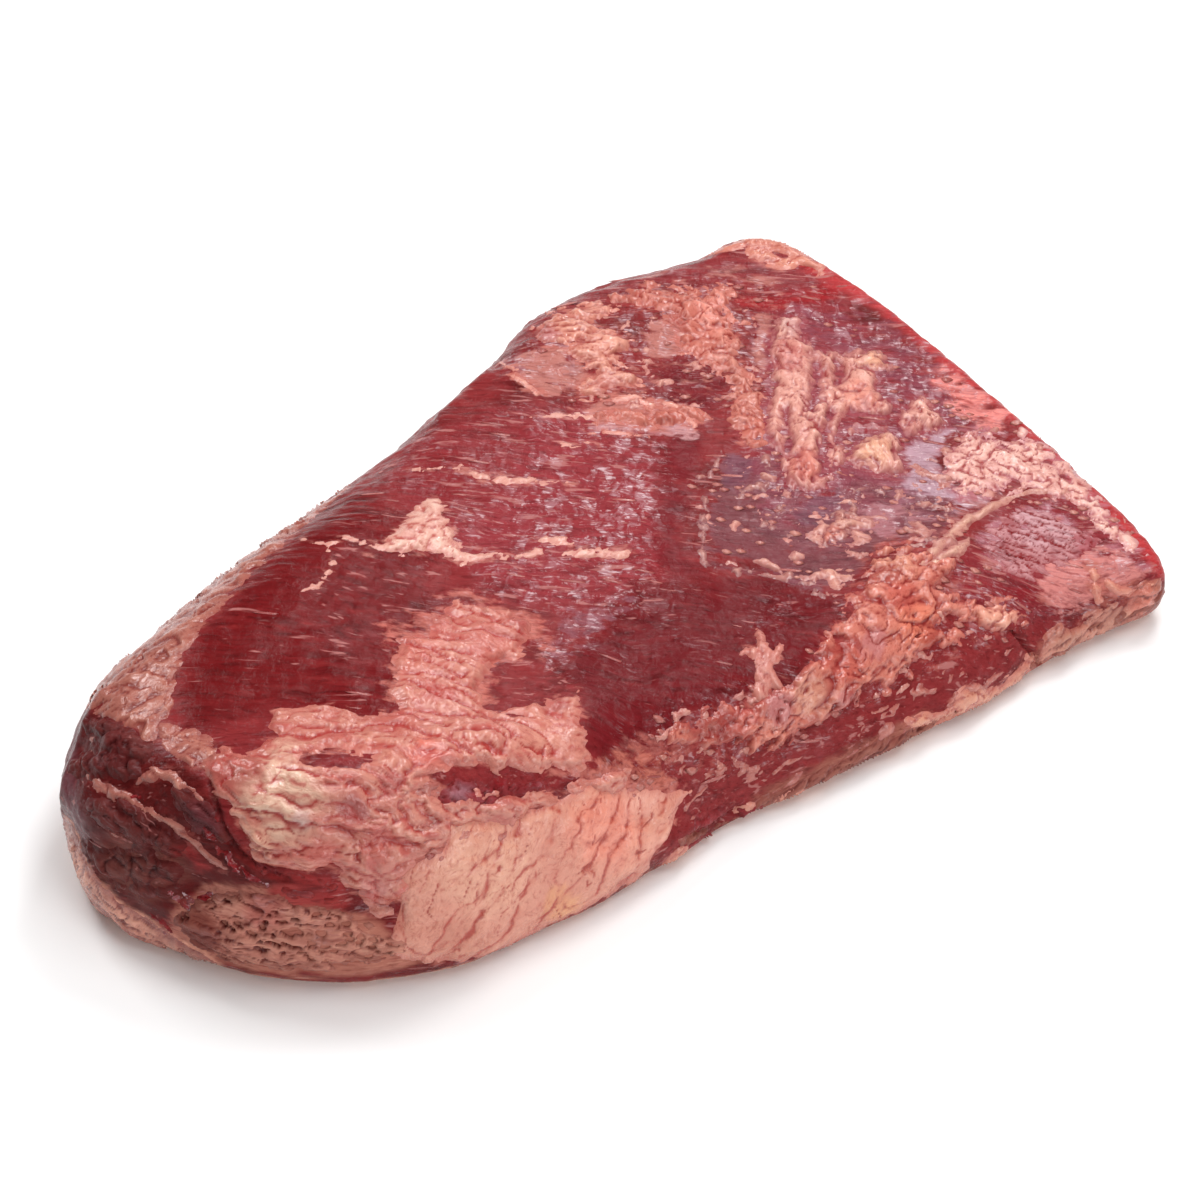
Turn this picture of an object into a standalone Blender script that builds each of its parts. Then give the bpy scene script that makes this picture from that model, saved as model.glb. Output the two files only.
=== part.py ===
# A whole raw beef brisket, as cut from the breast, lying on its fat cap.
# The thick rounded point is at -X, the thin square-cut end of the flat is at +X,
# the long front edge faces -Y. Metres, +Z up. The last step moves the finished shape by a
# few millimetres, so that the middle of the box round it is over the origin.

import math

import bmesh
import bpy
import numpy as np
from mathutils import Vector, noise

# Driving dimensions
LENGTH = 0.502  # point end to cut end
FRONT_EDGE = -0.153  # Y of the long front edge
POINT_THICKNESS = 0.093
FLAT_THICKNESS = 0.034
RESTING_EDGE = 0.012  # most that the lower edge curls in and up from the resting face
EDGE_CURL = 1.1  # how far it curls in, as a share of the height of the widest line
CELLS_ALONG = 56  # faces along the front and the back edge
CELLS_ACROSS = 30  # faces along each end
SHOULDER_RINGS = 14  # rings of faces from the top down to the widest line
LOWER_RINGS = 4  # rings of faces from the widest line down to the resting face
PATCH_EVENING = 60  # rounds that even out the faces of the top
SPINE_EVENING = 8  # rounds that even out where the shoulders lean to
RAW_MEAT = (0.30, 0.062, 0.055, 1.0)
WET_ROUGHNESS = 0.34

HALF = LENGTH / 2

# The widest line seen from above, counterclockwise from the front corner of the cut end.
# Each row: X, Y, width of the rounded shoulder, height of the widest line, squareness.
CUT_END = [
    (HALF - 0.010, -0.147, 0.010, 0.015, 2.1),
    (HALF - 0.003, -0.133, 0.010, 0.018, 2.4),
    (HALF, -0.098, 0.010, 0.016, 2.5),
    (HALF - 0.001, -0.020, 0.010, 0.015, 2.5),
    (HALF - 0.007, 0.056, 0.010, 0.015, 2.5),
    (HALF - 0.018, 0.118, 0.011, 0.015, 2.3),
]
BACK_EDGE = [
    (HALF - 0.034, 0.152, 0.013, 0.015, 2.1),
    (0.178, 0.158, 0.022, 0.017, 2.1),
    (0.126, 0.162, 0.026, 0.019, 2.1),
    (0.084, 0.153, 0.030, 0.021, 2.1),
    (0.050, 0.134, 0.034, 0.022, 2.0),
    (0.017, 0.119, 0.038, 0.024, 2.0),
    (-0.014, 0.104, 0.042, 0.024, 2.0),
    (-0.045, 0.094, 0.050, 0.023, 2.0),
    (-0.080, 0.083, 0.056, 0.022, 1.9),
    (-0.117, 0.071, 0.060, 0.020, 1.8),
    (-0.154, 0.057, 0.062, 0.018, 1.8),
    (-0.187, 0.043, 0.058, 0.016, 1.8),
]
POINT_END = [
    (-0.216, 0.026, 0.050, 0.014, 1.9),
    (-0.238, 0.001, 0.040, 0.014, 2.2),
    (-HALF + 0.003, -0.025, 0.034, 0.013, 2.4),
    (-HALF + 0.001, -0.049, 0.032, 0.012, 2.5),
    (-0.239, -0.074, 0.032, 0.011, 2.5),
    (-0.221, -0.101, 0.034, 0.010, 2.4),
]
FRONT_SIDE = [
    (-0.199, -0.125, 0.036, 0.010, 2.3),
    (-0.170, -0.143, 0.040, 0.010, 2.1),
    (-0.135, FRONT_EDGE - 0.003, 0.044, 0.010, 1.9),
    (-0.095, FRONT_EDGE - 0.005, 0.046, 0.009, 1.8),
    (-0.058, FRONT_EDGE - 0.004, 0.044, 0.008, 1.8),
    (-0.025, FRONT_EDGE + 0.001, 0.040, 0.007, 1.7),
    (0.006, FRONT_EDGE + 0.004, 0.044, 0.008, 1.6),
    (0.050, FRONT_EDGE + 0.001, 0.050, 0.012, 1.6),
    (0.100, FRONT_EDGE + 0.001, 0.046, 0.012, 1.6),
    (0.146, FRONT_EDGE + 0.003, 0.036, 0.010, 1.7),
    (0.198, FRONT_EDGE + 0.009, 0.022, 0.010, 1.9),
]
SIDES = (
    (CUT_END, CELLS_ACROSS),
    (BACK_EDGE, CELLS_ALONG),
    (POINT_END, CELLS_ACROSS),
    (FRONT_SIDE, CELLS_ALONG),
)

# The line that the shoulders lean in towards, X and Y.
SPINE = [(-0.165, -0.042), (-0.060, -0.025), (0.060, -0.005), (0.185, 0.000)]

# Thickness along the length: X and height of the top.
THICKNESS = [
    (-HALF, POINT_THICKNESS - 0.013),
    (-0.215, POINT_THICKNESS - 0.003),
    (-0.175, POINT_THICKNESS),
    (-0.130, POINT_THICKNESS - 0.004),
    (-0.060, POINT_THICKNESS - 0.020),
    (0.000, 0.064),
    (0.060, 0.055),
    (0.120, 0.047),
    (0.180, 0.040),
    (HALF, FLAT_THICKNESS),
]

# Swells and furrows that stand out of the plain shape or sink into it. Each row: its two
# ends as X, Y (and Z on a side), the half width and the height, negative for a furrow.
RELIEF = [
    # the thick seam fat that rolls over the front of the point
    ((-0.203, -0.082), (-0.165, -0.106), 0.017, 0.0050),
    ((-0.165, -0.106), (-0.095, -0.118), 0.014, 0.0040),
    # the wet crevice below it, and the tight roll of fibre under the crevice
    ((-0.220, -0.092, 0.050), (-0.160, -0.142, 0.046), 0.007, -0.0065),
    ((-0.224, -0.098, 0.030), (-0.150, -0.150, 0.028), 0.009, 0.0030),
    # the lobes of the end face, with the seams between them
    ((-0.246, -0.015, 0.055), (-0.243, -0.050, 0.062), 0.014, 0.0035),
    ((-0.247, -0.055, 0.030), (-0.234, -0.082, 0.034), 0.012, 0.0030),
    ((-0.240, -0.074, 0.060), (-0.250, -0.036, 0.042), 0.005, -0.0035),
    ((-0.236, 0.000, 0.066), (-0.226, -0.060, 0.080), 0.006, -0.0030),
    # the swell of the lean over the point, and the fold beside it
    ((-0.160, -0.010), (-0.090, 0.020), 0.030, 0.0040),
    ((-0.196, -0.058), (-0.150, -0.060), 0.010, -0.0025),
    # the cream knot of fat near the middle, and the seam that runs from it
    ((-0.060, 0.012), (-0.036, 0.020), 0.011, 0.0035),
    ((-0.030, -0.008), (0.035, -0.023), 0.008, 0.0015),
    # the sunken muscle at the middle, and the hollow above it
    ((-0.010, -0.085), (0.060, -0.075), 0.026, -0.0040),
    ((0.060, 0.060), (0.095, 0.010), 0.020, -0.0030),
    # the ropes of fat that lie across the flat
    ((0.205, 0.092), (0.140, -0.015), 0.011, 0.0035),
    ((0.214, 0.032), (0.168, -0.020), 0.011, 0.0030),
    ((0.085, 0.108), (0.165, 0.106), 0.014, 0.0030),
    # the long lumpy band of fat that follows the front edge
    ((-0.005, -0.128), (0.060, -0.120), 0.011, 0.0030),
    ((0.060, -0.120), (0.150, -0.090), 0.017, 0.0045),
    # the groove between that band and the lean strip at the edge
    ((0.040, -0.142), (0.150, -0.126), 0.008, -0.0025),
    # the lip where the surface fat ends in a ragged shred
    ((-0.040, -0.153, 0.018), (-0.014, -0.155, 0.012), 0.009, 0.0050),
    # the notch in the front edge near the cut end
    ((0.172, -0.154, 0.018), (0.176, -0.140, 0.030), 0.007, -0.0050),
    # the swollen corner at the back of the cut end
    ((0.200, 0.142), (0.226, 0.126), 0.012, 0.0025),
]
UNEVEN_SIZE = 0.032  # how far apart the slight swells of the whole surface are
UNEVEN_HEIGHT = 0.0014
SEED_SHIFT = Vector((3.7, 1.9, 5.3))


def along_curve(before, start, end, after, share):
    """A point of the smooth curve from start to end, on rows of any length."""
    return [
        0.5 * (
            2 * b
            + (c - a) * share
            + (2 * a - 5 * b + 4 * c - d) * share**2
            + (3 * b - a - 3 * c + d) * share**3
        )
        for a, b, c, d in zip(before, start, end, after)
    ]


def rim_rows():
    """Evenly spaced rows along each side of the widest line, in order."""
    knots = [row for side, cells in SIDES for row in side]
    rows = []
    first = 0
    for side, cells in SIDES:
        for cell in range(cells):
            travel = cell / cells * len(side)
            knot = first + int(travel)
            near = [knots[(knot + step) % len(knots)] for step in (-1, 0, 1, 2)]
            rows.append(along_curve(*near, travel % 1))
        first += len(side)
    return np.array(rows)


def spine_points(rim):
    """For each rim point, the point of the spine that its shoulder leans towards."""
    spine = np.array(SPINE)
    found = np.zeros_like(rim)
    best = np.full(len(rim), np.inf)
    for start, end in zip(spine[:-1], spine[1:]):
        step = end - start
        share = np.clip((rim - start) @ step / (step @ step), 0, 1)
        near = start + share[:, None] * step
        distance = np.linalg.norm(rim - near, axis=1)
        closer = distance < best
        best[closer] = distance[closer]
        found[closer] = near[closer]
    for smoothing in range(SPINE_EVENING):
        found = found / 2 + (np.roll(found, 1, 0) + np.roll(found, -1, 0)) / 4
    return found


def top_height(x):
    """Height of the plain top at X, eased between the rows of THICKNESS."""
    places, heights = np.array(THICKNESS).T
    slopes = np.gradient(heights, places)
    x = np.clip(x, places[0], places[-1])
    left = np.clip(np.searchsorted(places, x, side="right") - 1, 0, len(places) - 2)
    gap = places[left + 1] - places[left]
    share = (x - places[left]) / gap
    rest = 1 - share
    return (
        heights[left] * (1 + 2 * share) * rest**2
        + slopes[left] * gap * share * rest**2
        + heights[left + 1] * share**2 * (1 + 2 * rest)
        - slopes[left + 1] * gap * share**2 * rest
    )


def ring_points(rim, spine, inset, height):
    """A ring of points, moved in from the rim by inset."""
    inward = spine - rim
    inward /= np.linalg.norm(inward, axis=1)[:, None]
    place = rim + inward * inset[:, None]
    return np.column_stack([place, height(place)])


def patch_points(ring):
    """The grid inside a ring of points, blended from its four sides and evened out."""
    across, along = CELLS_ACROSS, CELLS_ALONG
    cut_end = ring[: across + 1]
    back = ring[across : across + along + 1]
    point_end = ring[across + along : 2 * across + along + 1][::-1]
    front = np.vstack([ring[2 * across + along :], ring[:1]])[::-1]
    grid = np.zeros((along + 1, across + 1, 3))
    for i in range(along + 1):
        u = i / along
        for j in range(across + 1):
            v = j / across
            corners = (
                (1 - u) * ((1 - v) * cut_end[0] + v * cut_end[-1])
                + u * ((1 - v) * point_end[0] + v * point_end[-1])
            )
            lengthways = (1 - v) * front[i] + v * back[i]
            crossways = (1 - u) * cut_end[j] + u * point_end[j]
            grid[i, j] = lengthways + crossways - corners
    for evening in range(PATCH_EVENING):
        beside = grid[:-2, 1:-1] + grid[2:, 1:-1]
        beyond = grid[1:-1, :-2] + grid[1:-1, 2:]
        grid[1:-1, 1:-1] = (beside + beyond) / 4
    return grid


def fill_top(bm, ring, grid):
    """Fills the uppermost ring of vertices with the grid."""
    across, along = CELLS_ACROSS, CELLS_ALONG
    corner = {}
    for k, vertex in enumerate(ring):
        if k <= across:
            corner[0, k] = vertex
        elif k <= across + along:
            corner[k - across, across] = vertex
        elif k <= 2 * across + along:
            corner[along, 2 * across + along - k] = vertex
        else:
            corner[2 * (across + along) - k, 0] = vertex
    for i in range(1, along):
        for j in range(1, across):
            corner[i, j] = bm.verts.new(grid[i, j])
    for i in range(along):
        for j in range(across):
            bm.faces.new([corner[i, j], corner[i, j + 1], corner[i + 1, j + 1], corner[i + 1, j]])


def build_shape(bm):
    """The plain closed shape: top, shoulder rings, lower rings and resting face."""
    rows = rim_rows()
    rim, shoulder, rim_height, squareness = rows[:, :2], rows[:, 2], rows[:, 3], rows[:, 4]
    spine = spine_points(rim)
    lower = np.minimum(rim_height * EDGE_CURL, RESTING_EDGE)
    rings = []
    for ring in range(SHOULDER_RINGS + 1):
        angle = math.pi / 2 * ring / SHOULDER_RINGS
        out = math.sin(angle) ** (2 / squareness)
        rise = max(math.cos(angle), 0.0) ** (2 / squareness)
        rings.append(
            ring_points(
                rim,
                spine,
                shoulder * (1 - out),
                lambda place: rim_height + (top_height(place[:, 0]) - rim_height) * rise,
            )
        )
    for ring in range(1, LOWER_RINGS + 1):
        angle = math.pi / 2 * ring / LOWER_RINGS
        rings.append(
            ring_points(
                rim,
                spine,
                lower * (1 - math.cos(angle)),
                lambda place: rim_height * (1 - math.sin(angle)),
            )
        )
    loops = [[bm.verts.new(point) for point in ring] for ring in rings]
    for upper, below in zip(loops[:-1], loops[1:]):
        for k, vertex in enumerate(upper):
            following = (k + 1) % len(upper)
            bm.faces.new([vertex, below[k], below[following], upper[following]])
    top = patch_points(rings[0])
    top[1:-1, 1:-1, 2] = top_height(top[1:-1, 1:-1, 0])
    fill_top(bm, loops[0], top)
    bm.faces.new(loops[-1][::-1])


def relief_at(points):
    """How far each point moves out along its normal."""
    moved = np.zeros(len(points))
    for start, end, width, height in RELIEF:
        ends = [
            np.array(place if len(place) == 3 else (*place, top_height(place[0])))
            for place in (start, end)
        ]
        step = ends[1] - ends[0]
        share = np.clip((points - ends[0]) @ step / (step @ step), 0, 1)
        distance = np.linalg.norm(points - ends[0] - share[:, None] * step, axis=1)
        moved += height * np.exp(-((distance / width) ** 2))
    return moved


def add_relief(bm):
    """Moves the surface out and in, and leaves the resting face flat."""
    bm.normal_update()
    points = np.array([vertex.co for vertex in bm.verts])
    normals = np.array([vertex.normal for vertex in bm.verts])
    moved = relief_at(points)
    for vertex, point, normal, height in zip(bm.verts, points, normals, moved):
        above = min(point[2] / RESTING_EDGE, 1.0)
        uneven = noise.noise(Vector(point) / UNEVEN_SIZE + SEED_SHIFT) * UNEVEN_HEIGHT
        vertex.co += Vector(normal) * (height + uneven) * above
        vertex.co.z = max(vertex.co.z, 0.0)


def centre_on_origin(bm):
    """Puts the middle of the box round the meat over the origin."""
    points = np.array([vertex.co for vertex in bm.verts])
    middle = (points.min(axis=0) + points.max(axis=0)) / 2
    bmesh.ops.translate(bm, verts=bm.verts, vec=(-middle[0], -middle[1], 0.0))


def raw_meat():
    """Wet red lean, the colour that most of the surface has."""
    material = bpy.data.materials.new("raw_meat")
    material.use_nodes = True
    shader = material.node_tree.nodes["Principled BSDF"]
    shader.inputs["Base Color"].default_value = RAW_MEAT
    shader.inputs["Roughness"].default_value = WET_ROUGHNESS
    shader.inputs["Metallic"].default_value = 0.0
    material.diffuse_color = RAW_MEAT
    return material


def make_brisket():
    """The whole piece of meat as one solid."""
    bm = bmesh.new()
    build_shape(bm)
    add_relief(bm)
    centre_on_origin(bm)
    bmesh.ops.recalc_face_normals(bm, faces=bm.faces)
    mesh = bpy.data.meshes.new("brisket")
    bm.to_mesh(mesh)
    bm.free()
    mesh.shade_smooth()
    mesh.materials.append(raw_meat())
    brisket = bpy.data.objects.new("brisket", mesh)
    bpy.context.scene.collection.objects.link(brisket)


for leftover in list(bpy.data.objects):
    bpy.data.objects.remove(leftover, do_unlink=True)
make_brisket()
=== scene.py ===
import math
import bpy
import numpy as np
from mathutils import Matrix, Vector
from mathutils.bvhtree import BVHTree


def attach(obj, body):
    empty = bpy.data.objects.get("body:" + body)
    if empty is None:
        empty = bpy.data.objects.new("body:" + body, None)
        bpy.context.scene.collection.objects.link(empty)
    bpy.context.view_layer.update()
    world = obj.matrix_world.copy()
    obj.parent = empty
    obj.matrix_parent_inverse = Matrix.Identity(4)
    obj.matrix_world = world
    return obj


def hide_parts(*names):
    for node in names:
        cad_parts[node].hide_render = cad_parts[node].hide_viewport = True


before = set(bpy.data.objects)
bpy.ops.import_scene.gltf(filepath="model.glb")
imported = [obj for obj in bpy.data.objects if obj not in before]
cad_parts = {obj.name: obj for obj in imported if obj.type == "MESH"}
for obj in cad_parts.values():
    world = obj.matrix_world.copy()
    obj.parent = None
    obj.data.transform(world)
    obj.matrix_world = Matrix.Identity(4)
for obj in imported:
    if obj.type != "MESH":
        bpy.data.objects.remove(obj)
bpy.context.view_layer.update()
mm = 0.001
print("brisket: packed model loaded")


# A slanted sheet that faces the best side of the meat. Patches of fat and film are drawn on it in
# millimetres, (across, up), and dropped onto the meat square to it.
sheet = {
    "turn": -32.0,   # degrees round from the front
    "lift": 45.0,    # degrees up from the table
}
turn = math.radians(sheet["turn"])
lift = math.radians(sheet["lift"])
sheetAcross = np.array([math.cos(turn), math.sin(turn), 0.0])
sheetDrop = np.array([-math.sin(turn) * math.cos(lift), math.cos(turn) * math.cos(lift), -math.sin(lift)])
sheetUp = np.cross(sheetAcross, sheetDrop)
sheetAxes = np.stack([sheetAcross, sheetUp, sheetDrop], axis=1)

# Where the fibres lean: (across, up, reach, slope), millimetres and rise per run.
fibreLean = [
    (100, 0, 50, -0.40),
    (33, -32, 20, -0.80),
    (215, 35, 45, -0.60),
    (160, 55, 40, -0.25),
    (110, -58, 45, 0.20),
]


def onSheet(points):
    # world metres to (across, up, depth) in millimetres
    return points @ sheetAxes / mm


def alongFibres(places):
    # the same places, bent so that the first number runs along the fibres
    bent = places.copy()
    for across, up, reach, slope in fibreLean:
        away = (places[:, 0] - across) ** 2 + (places[:, 1] - up) ** 2
        bent[:, 1] -= slope * (places[:, 0] - across) * np.exp(-away / reach ** 2)
    return bent


def fibreSlope(places):
    # rise per run of the fibres
    slope = np.zeros(len(places))
    for across, up, reach, rise in fibreLean:
        away = (places[:, 0] - across) ** 2 + (places[:, 1] - up) ** 2
        slope += rise * np.exp(-away / reach ** 2)
    return slope


# Noise, in whatever units the places have.
def smoothStep(low, high, value):
    share = np.clip((value - low) / (high - low), 0.0, 1.0)
    return share * share * (3.0 - 2.0 * share)


def scrambled(cells, seed):
    # a whole number below 2^30 for each cell of a 3-D grid
    cells = cells.astype(np.int64)
    key = cells[:, 0] * 374761393 + cells[:, 1] * 668265263 + cells[:, 2] * 1440662683 + seed * 1274126177
    key = (key ^ (key >> 13)) & 0x7FFFFFFF
    key = (key * 1274126177 + 12345) & 0x7FFFFFFFFFFF
    return (key ^ (key >> 17)) & 0x3FFFFFFF


def threeOf(key):
    # three numbers from 0 to 1 out of one
    return np.stack([(key >> shift & 1023) / 1023.0 for shift in (0, 10, 20)], axis=1)


def softNoise(places, size, seed):
    # gradient noise, about -1 to 1, with lumps of that size
    spread = places / np.asarray(size, float) + 17.31 * seed
    cell = np.floor(spread)
    part = spread - cell
    ease = part ** 3 * (part * (part * 6 - 15) + 10)
    total = np.zeros(len(places))
    for corner in np.ndindex(2, 2, 2):
        step = np.array(corner)
        slopes = threeOf(scrambled(cell + step, seed)) * 2 - 1
        weight = np.prod(np.where(step == 1, ease, 1 - ease), axis=1)
        total += weight * np.sum(slopes * (part - step), axis=1)
    return total * 1.5


def roughNoise(places, size, seed, layers=3):
    total = np.zeros(len(places))
    for layer in range(layers):
        total += 0.5 ** layer * softNoise(places, np.asarray(size, float) / 2 ** layer, seed + layer)
    return total


def lobules(places, size, seed):
    # distances to the nearest and the next nearest of scattered centres, one centre a cell
    spread = places / np.asarray(size, float)
    cell = np.floor(spread)
    near = np.full(len(places), 9.0)
    nextNear = near.copy()
    for corner in np.ndindex(3, 3, 3):
        place = cell + np.array(corner) - 1
        gap = np.linalg.norm(spread - place - threeOf(scrambled(place, seed)), axis=1)
        nextNear = np.minimum(nextNear, np.maximum(near, gap))
        near = np.minimum(near, gap)
    return near, nextNear


# Outlines and strokes on the sheet. Beyond shapeReach millimetres a shape has no say.
shapeReach = 25


def rounded(points, closed):
    # a smooth curve through given points, four steps to a span
    points = np.array(points, float)
    count = len(points)
    curve = []
    for index in range(count if closed else count - 1):
        if closed:
            a, b, c, d = (points[(index + k) % count] for k in (-1, 0, 1, 2))
        else:
            a, b, c, d = (points[min(max(index + k, 0), count - 1)] for k in (-1, 0, 1, 2))
        for share in (0.0, 0.25, 0.5, 0.75):
            curve.append(b + 0.5 * share * (c - a + share * (2 * a - 5 * b + 4 * c - d
                         + share * (3 * (b - c) + d - a))))
    if not closed:
        curve.append(points[-1])
    return np.array(curve)


def nearestOn(spots, start, end):
    span = end - start
    share = np.clip((spots - start) @ span / max(span @ span, 1e-9), 0.0, 1.0)
    return share, np.hypot(*(spots - start - share[:, None] * span).T)


def insideLoop(spots, corners):
    # millimetres inside a closed outline, negative outside
    loop = rounded(corners, True)
    inside = np.zeros(len(spots), bool)
    nearest = np.full(len(spots), 1e9)
    for start, end in zip(loop, np.roll(loop, -1, axis=0)):
        nearest = np.minimum(nearest, nearestOn(spots, start, end)[1])
        crosses = (start[1] > spots[:, 1]) != (end[1] > spots[:, 1])
        rise = end[1] - start[1] if abs(end[1] - start[1]) > 1e-9 else 1e-9
        inside ^= crosses & (spots[:, 0] < start[0] + (spots[:, 1] - start[1]) * (end[0] - start[0]) / rise)
    return np.where(inside, nearest, -nearest)


def insideStroke(spots, stroke):
    # the same for a stroke of (across, up, width) points
    line = rounded(stroke, False)
    best = np.full(len(spots), -1e9)
    for start, end in zip(line, line[1:]):
        share, gap = nearestOn(spots, start[:2], end[:2])
        best = np.maximum(best, 0.5 * (start[2] + (end[2] - start[2]) * share) - gap)
    return best


def insideShapes(spots, shapes):
    # shapes holds closed outlines (pairs) and strokes (triples)
    best = np.full(len(spots), -1e3)
    for shape in shapes:
        corners = np.array(shape, float)
        low = corners[:, :2].min(axis=0) - shapeReach
        high = corners[:, :2].max(axis=0) + shapeReach
        close = np.all((spots > low) & (spots < high), axis=1)
        if close.any():
            measure = insideLoop if corners.shape[1] == 2 else insideStroke
            best[close] = np.maximum(best[close], measure(spots[close], shape))
    return best


def paintColour(red, green, blue):
    # a colour given 0 to 255, as a paint chart gives it
    shade = np.array([red, green, blue], float) / 255
    return np.where(shade <= 0.04045, shade / 12.92, ((shade + 0.055) / 1.055) ** 2.4)


def mixed(first, second, share):
    return first + (second - first) * share[:, None]


def newObject(name, mesh):
    piece = bpy.data.objects.new(name, mesh)
    bpy.context.scene.collection.objects.link(piece)
    return piece


def newMaterial(name):
    material = bpy.data.materials.new(name)
    material.use_nodes = True
    return material, material.node_tree, material.node_tree.nodes["Principled BSDF"]


def meshPoints(mesh):
    points = np.empty(len(mesh.vertices) * 3, np.float32)
    mesh.vertices.foreach_get("co", points)
    return points.reshape(-1, 3).astype(float)


def meshNormals(mesh):
    normals = np.empty(len(mesh.vertices) * 3, np.float32)
    mesh.vertex_normals.foreach_get("vector", normals)
    return normals.reshape(-1, 3).astype(float)


def setPoints(mesh, points):
    mesh.vertices.foreach_set("co", points.astype(np.float32).ravel())
    mesh.update()


def freshAttribute(mesh, name, kind):
    # a point attribute, in place of any of that name
    old = mesh.attributes.get(name)
    if old is not None:
        mesh.attributes.remove(old)
    return mesh.attributes.new(name, kind, "POINT").data


def storeColour(mesh, name, colours):
    four = np.ones((len(colours), 4), np.float32)
    four[:, :3] = colours
    freshAttribute(mesh, name, "FLOAT_COLOR").foreach_set("color", four.ravel())


def storeNumber(mesh, name, values):
    freshAttribute(mesh, name, "FLOAT").foreach_set("value", values.astype(np.float32))


def storeVector(mesh, name, vectors):
    freshAttribute(mesh, name, "FLOAT_VECTOR").foreach_set("vector", vectors.astype(np.float32).ravel())


def settled(piece):
    # applies the live modifiers and keeps the same object
    graph = bpy.context.evaluated_depsgraph_get()
    mesh = bpy.data.meshes.new_from_object(piece.evaluated_get(graph))
    piece.modifiers.clear()
    piece.data = mesh
    return mesh



# Camera, floor and light.
studio = {
    "distance": 1.543,
    "aim": (0.0318, -0.0012, 0.0),
    "lens": 100.0,
    "floorSize": 8.0,
    "floorShade": 0.98,
    "floorRough": 0.9,
    "skyStrength": 0.23,
    # name: direction round and up from the front in degrees, distance, side, watts
    "lamps": {
        "key": (112.0, 64.0, 1.5, 0.45, 8.0),
        "top": (20.0, 76.0, 1.6, 1.0, 11.0),
        "left": (-156.0, 56.0, 1.6, 0.5, 10.0),
        "front": (5.0, 23.0, 1.7, 0.8, 8.0),
        "sheen": (136.0, 31.0, 1.6, 0.16, 3.0),
    },
}


def towards(around, up):
    around = math.radians(around)
    up = math.radians(up)
    return Vector((math.sin(around) * math.cos(up), -math.cos(around) * math.cos(up), math.sin(up)))


def setStudio():
    scene = bpy.context.scene
    aim = Vector(studio["aim"])
    camera = bpy.data.objects.new("camera", bpy.data.cameras.new("camera"))
    scene.collection.objects.link(camera)
    camera.location = aim - Vector(sheetDrop) * studio["distance"]
    camera.rotation_euler = Vector(sheetDrop).to_track_quat("-Z", "Y").to_euler()
    camera.data.lens = studio["lens"]
    camera.data.clip_end = 50
    scene.camera = camera
    for name, (around, up, distance, side, watts) in studio["lamps"].items():
        lamp = bpy.data.lights.new(name, "AREA")
        lamp.size = side
        lamp.energy = watts
        holder = bpy.data.objects.new(name, lamp)
        scene.collection.objects.link(holder)
        away = towards(around, up)
        holder.location = aim + away * distance
        holder.rotation_euler = (-away).to_track_quat("-Z", "Y").to_euler()
    world = bpy.data.worlds.new("studio")
    scene.world = world
    world.use_nodes = True
    sky = world.node_tree.nodes["Background"]
    sky.inputs["Color"].default_value = (1, 1, 1, 1)
    sky.inputs["Strength"].default_value = studio["skyStrength"]
    scene.view_settings.view_transform = "Standard"
    half = studio["floorSize"] / 2
    corners = [(-half, -half, 0), (half, -half, 0), (half, half, 0), (-half, half, 0)]
    mesh = bpy.data.meshes.new("floor")
    mesh.from_pydata(corners, [], [(0, 1, 2, 3)])
    floor = newObject("floor", mesh)
    paint, _, shader = newMaterial("pale floor")
    shader.inputs["Base Color"].default_value = (*[studio["floorShade"]] * 3, 1)
    shader.inputs["Roughness"].default_value = studio["floorRough"]
    shader.inputs["Specular IOR Level"].default_value = 0.0
    mesh.materials.append(paint)


setStudio()
print("brisket: camera, floor and light set")


# The body of the meat.
body = {
    "cell": 1.6 * mm,           # size of the remesh
    "smoothing": 30,            # rounds
    "triangles": 196000,
    "bundle": 0.45,             # height of the fibre bundles
    "bundleSize": (34, 5, 5),
    "lumps": 0.6,               # height of the uneven surface
    "lumpSize": 16,
    "fatLumps": (0.9, 0.7),     # height of the fat on the hidden sides, even and uneven
    "fatLumpSize": (9, 4, 4),
    "seen": (-0.15, 0.25),      # how far a face has to turn to the sheet to be carved
    "spare": (-0.35, 0.05),     # the same for faces that may be coarser
    "sparePull": 10.0,
    "foot": (1.0, 6.0),         # heights over the table between which the relief sets in
}

# Grooves and ridges on the sheet: height in millimetres, softness, strokes of (across, up, width).
carving = [
    (-1.2, 1.2, [[(-101, -28, 2), (-94, -29, 4), (-87, -30, 2)]]),
    (-1.5, 0.8, [[(-118, -24, 1.5), (-114, -26, 1.5)]]),
    (-5.0, 0.8, [[(211, -2, 0.8), (219, -10, 1.4), (226, -18, 1.0)]]),
    (2.6, 4, [[(118, 187, 3), (147, 169, 4), (175, 145, 5), (201, 119, 5), (227, 92, 4), (239, 80, 2)]]),
    (-4.0, 6, [[(26, 168, 3), (52, 178, 5), (78, 186, 4)]]),
    (1.5, 4, [[(103, 190, 3), (112, 190, 4)]]),
    (-2.2, 1.0, [[(-129, -62, 0.8), (-126, -71, 1.5), (-122, -83, 1.6), (-114, -93, 1.4),
                  (-98, -101, 1.2)]]),
    (3.5, 4, [[(-46, 96, 2), (-34, 108, 4), (-25, 118, 2)]]),
    (3.5, 4, [[(-178, -28, 2), (-184, -38, 3), (-189, -52, 2), (-196, -78, 3)],
              [(-170, -124, 3), (-156, -133, 4)]]),
    (-3.5, 3, [[(66, -91, 2), (78, -85, 3), (88, -79, 2)], [(164, -49, 2), (174, -45, 3), (186, -40, 2)]]),
]

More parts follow.
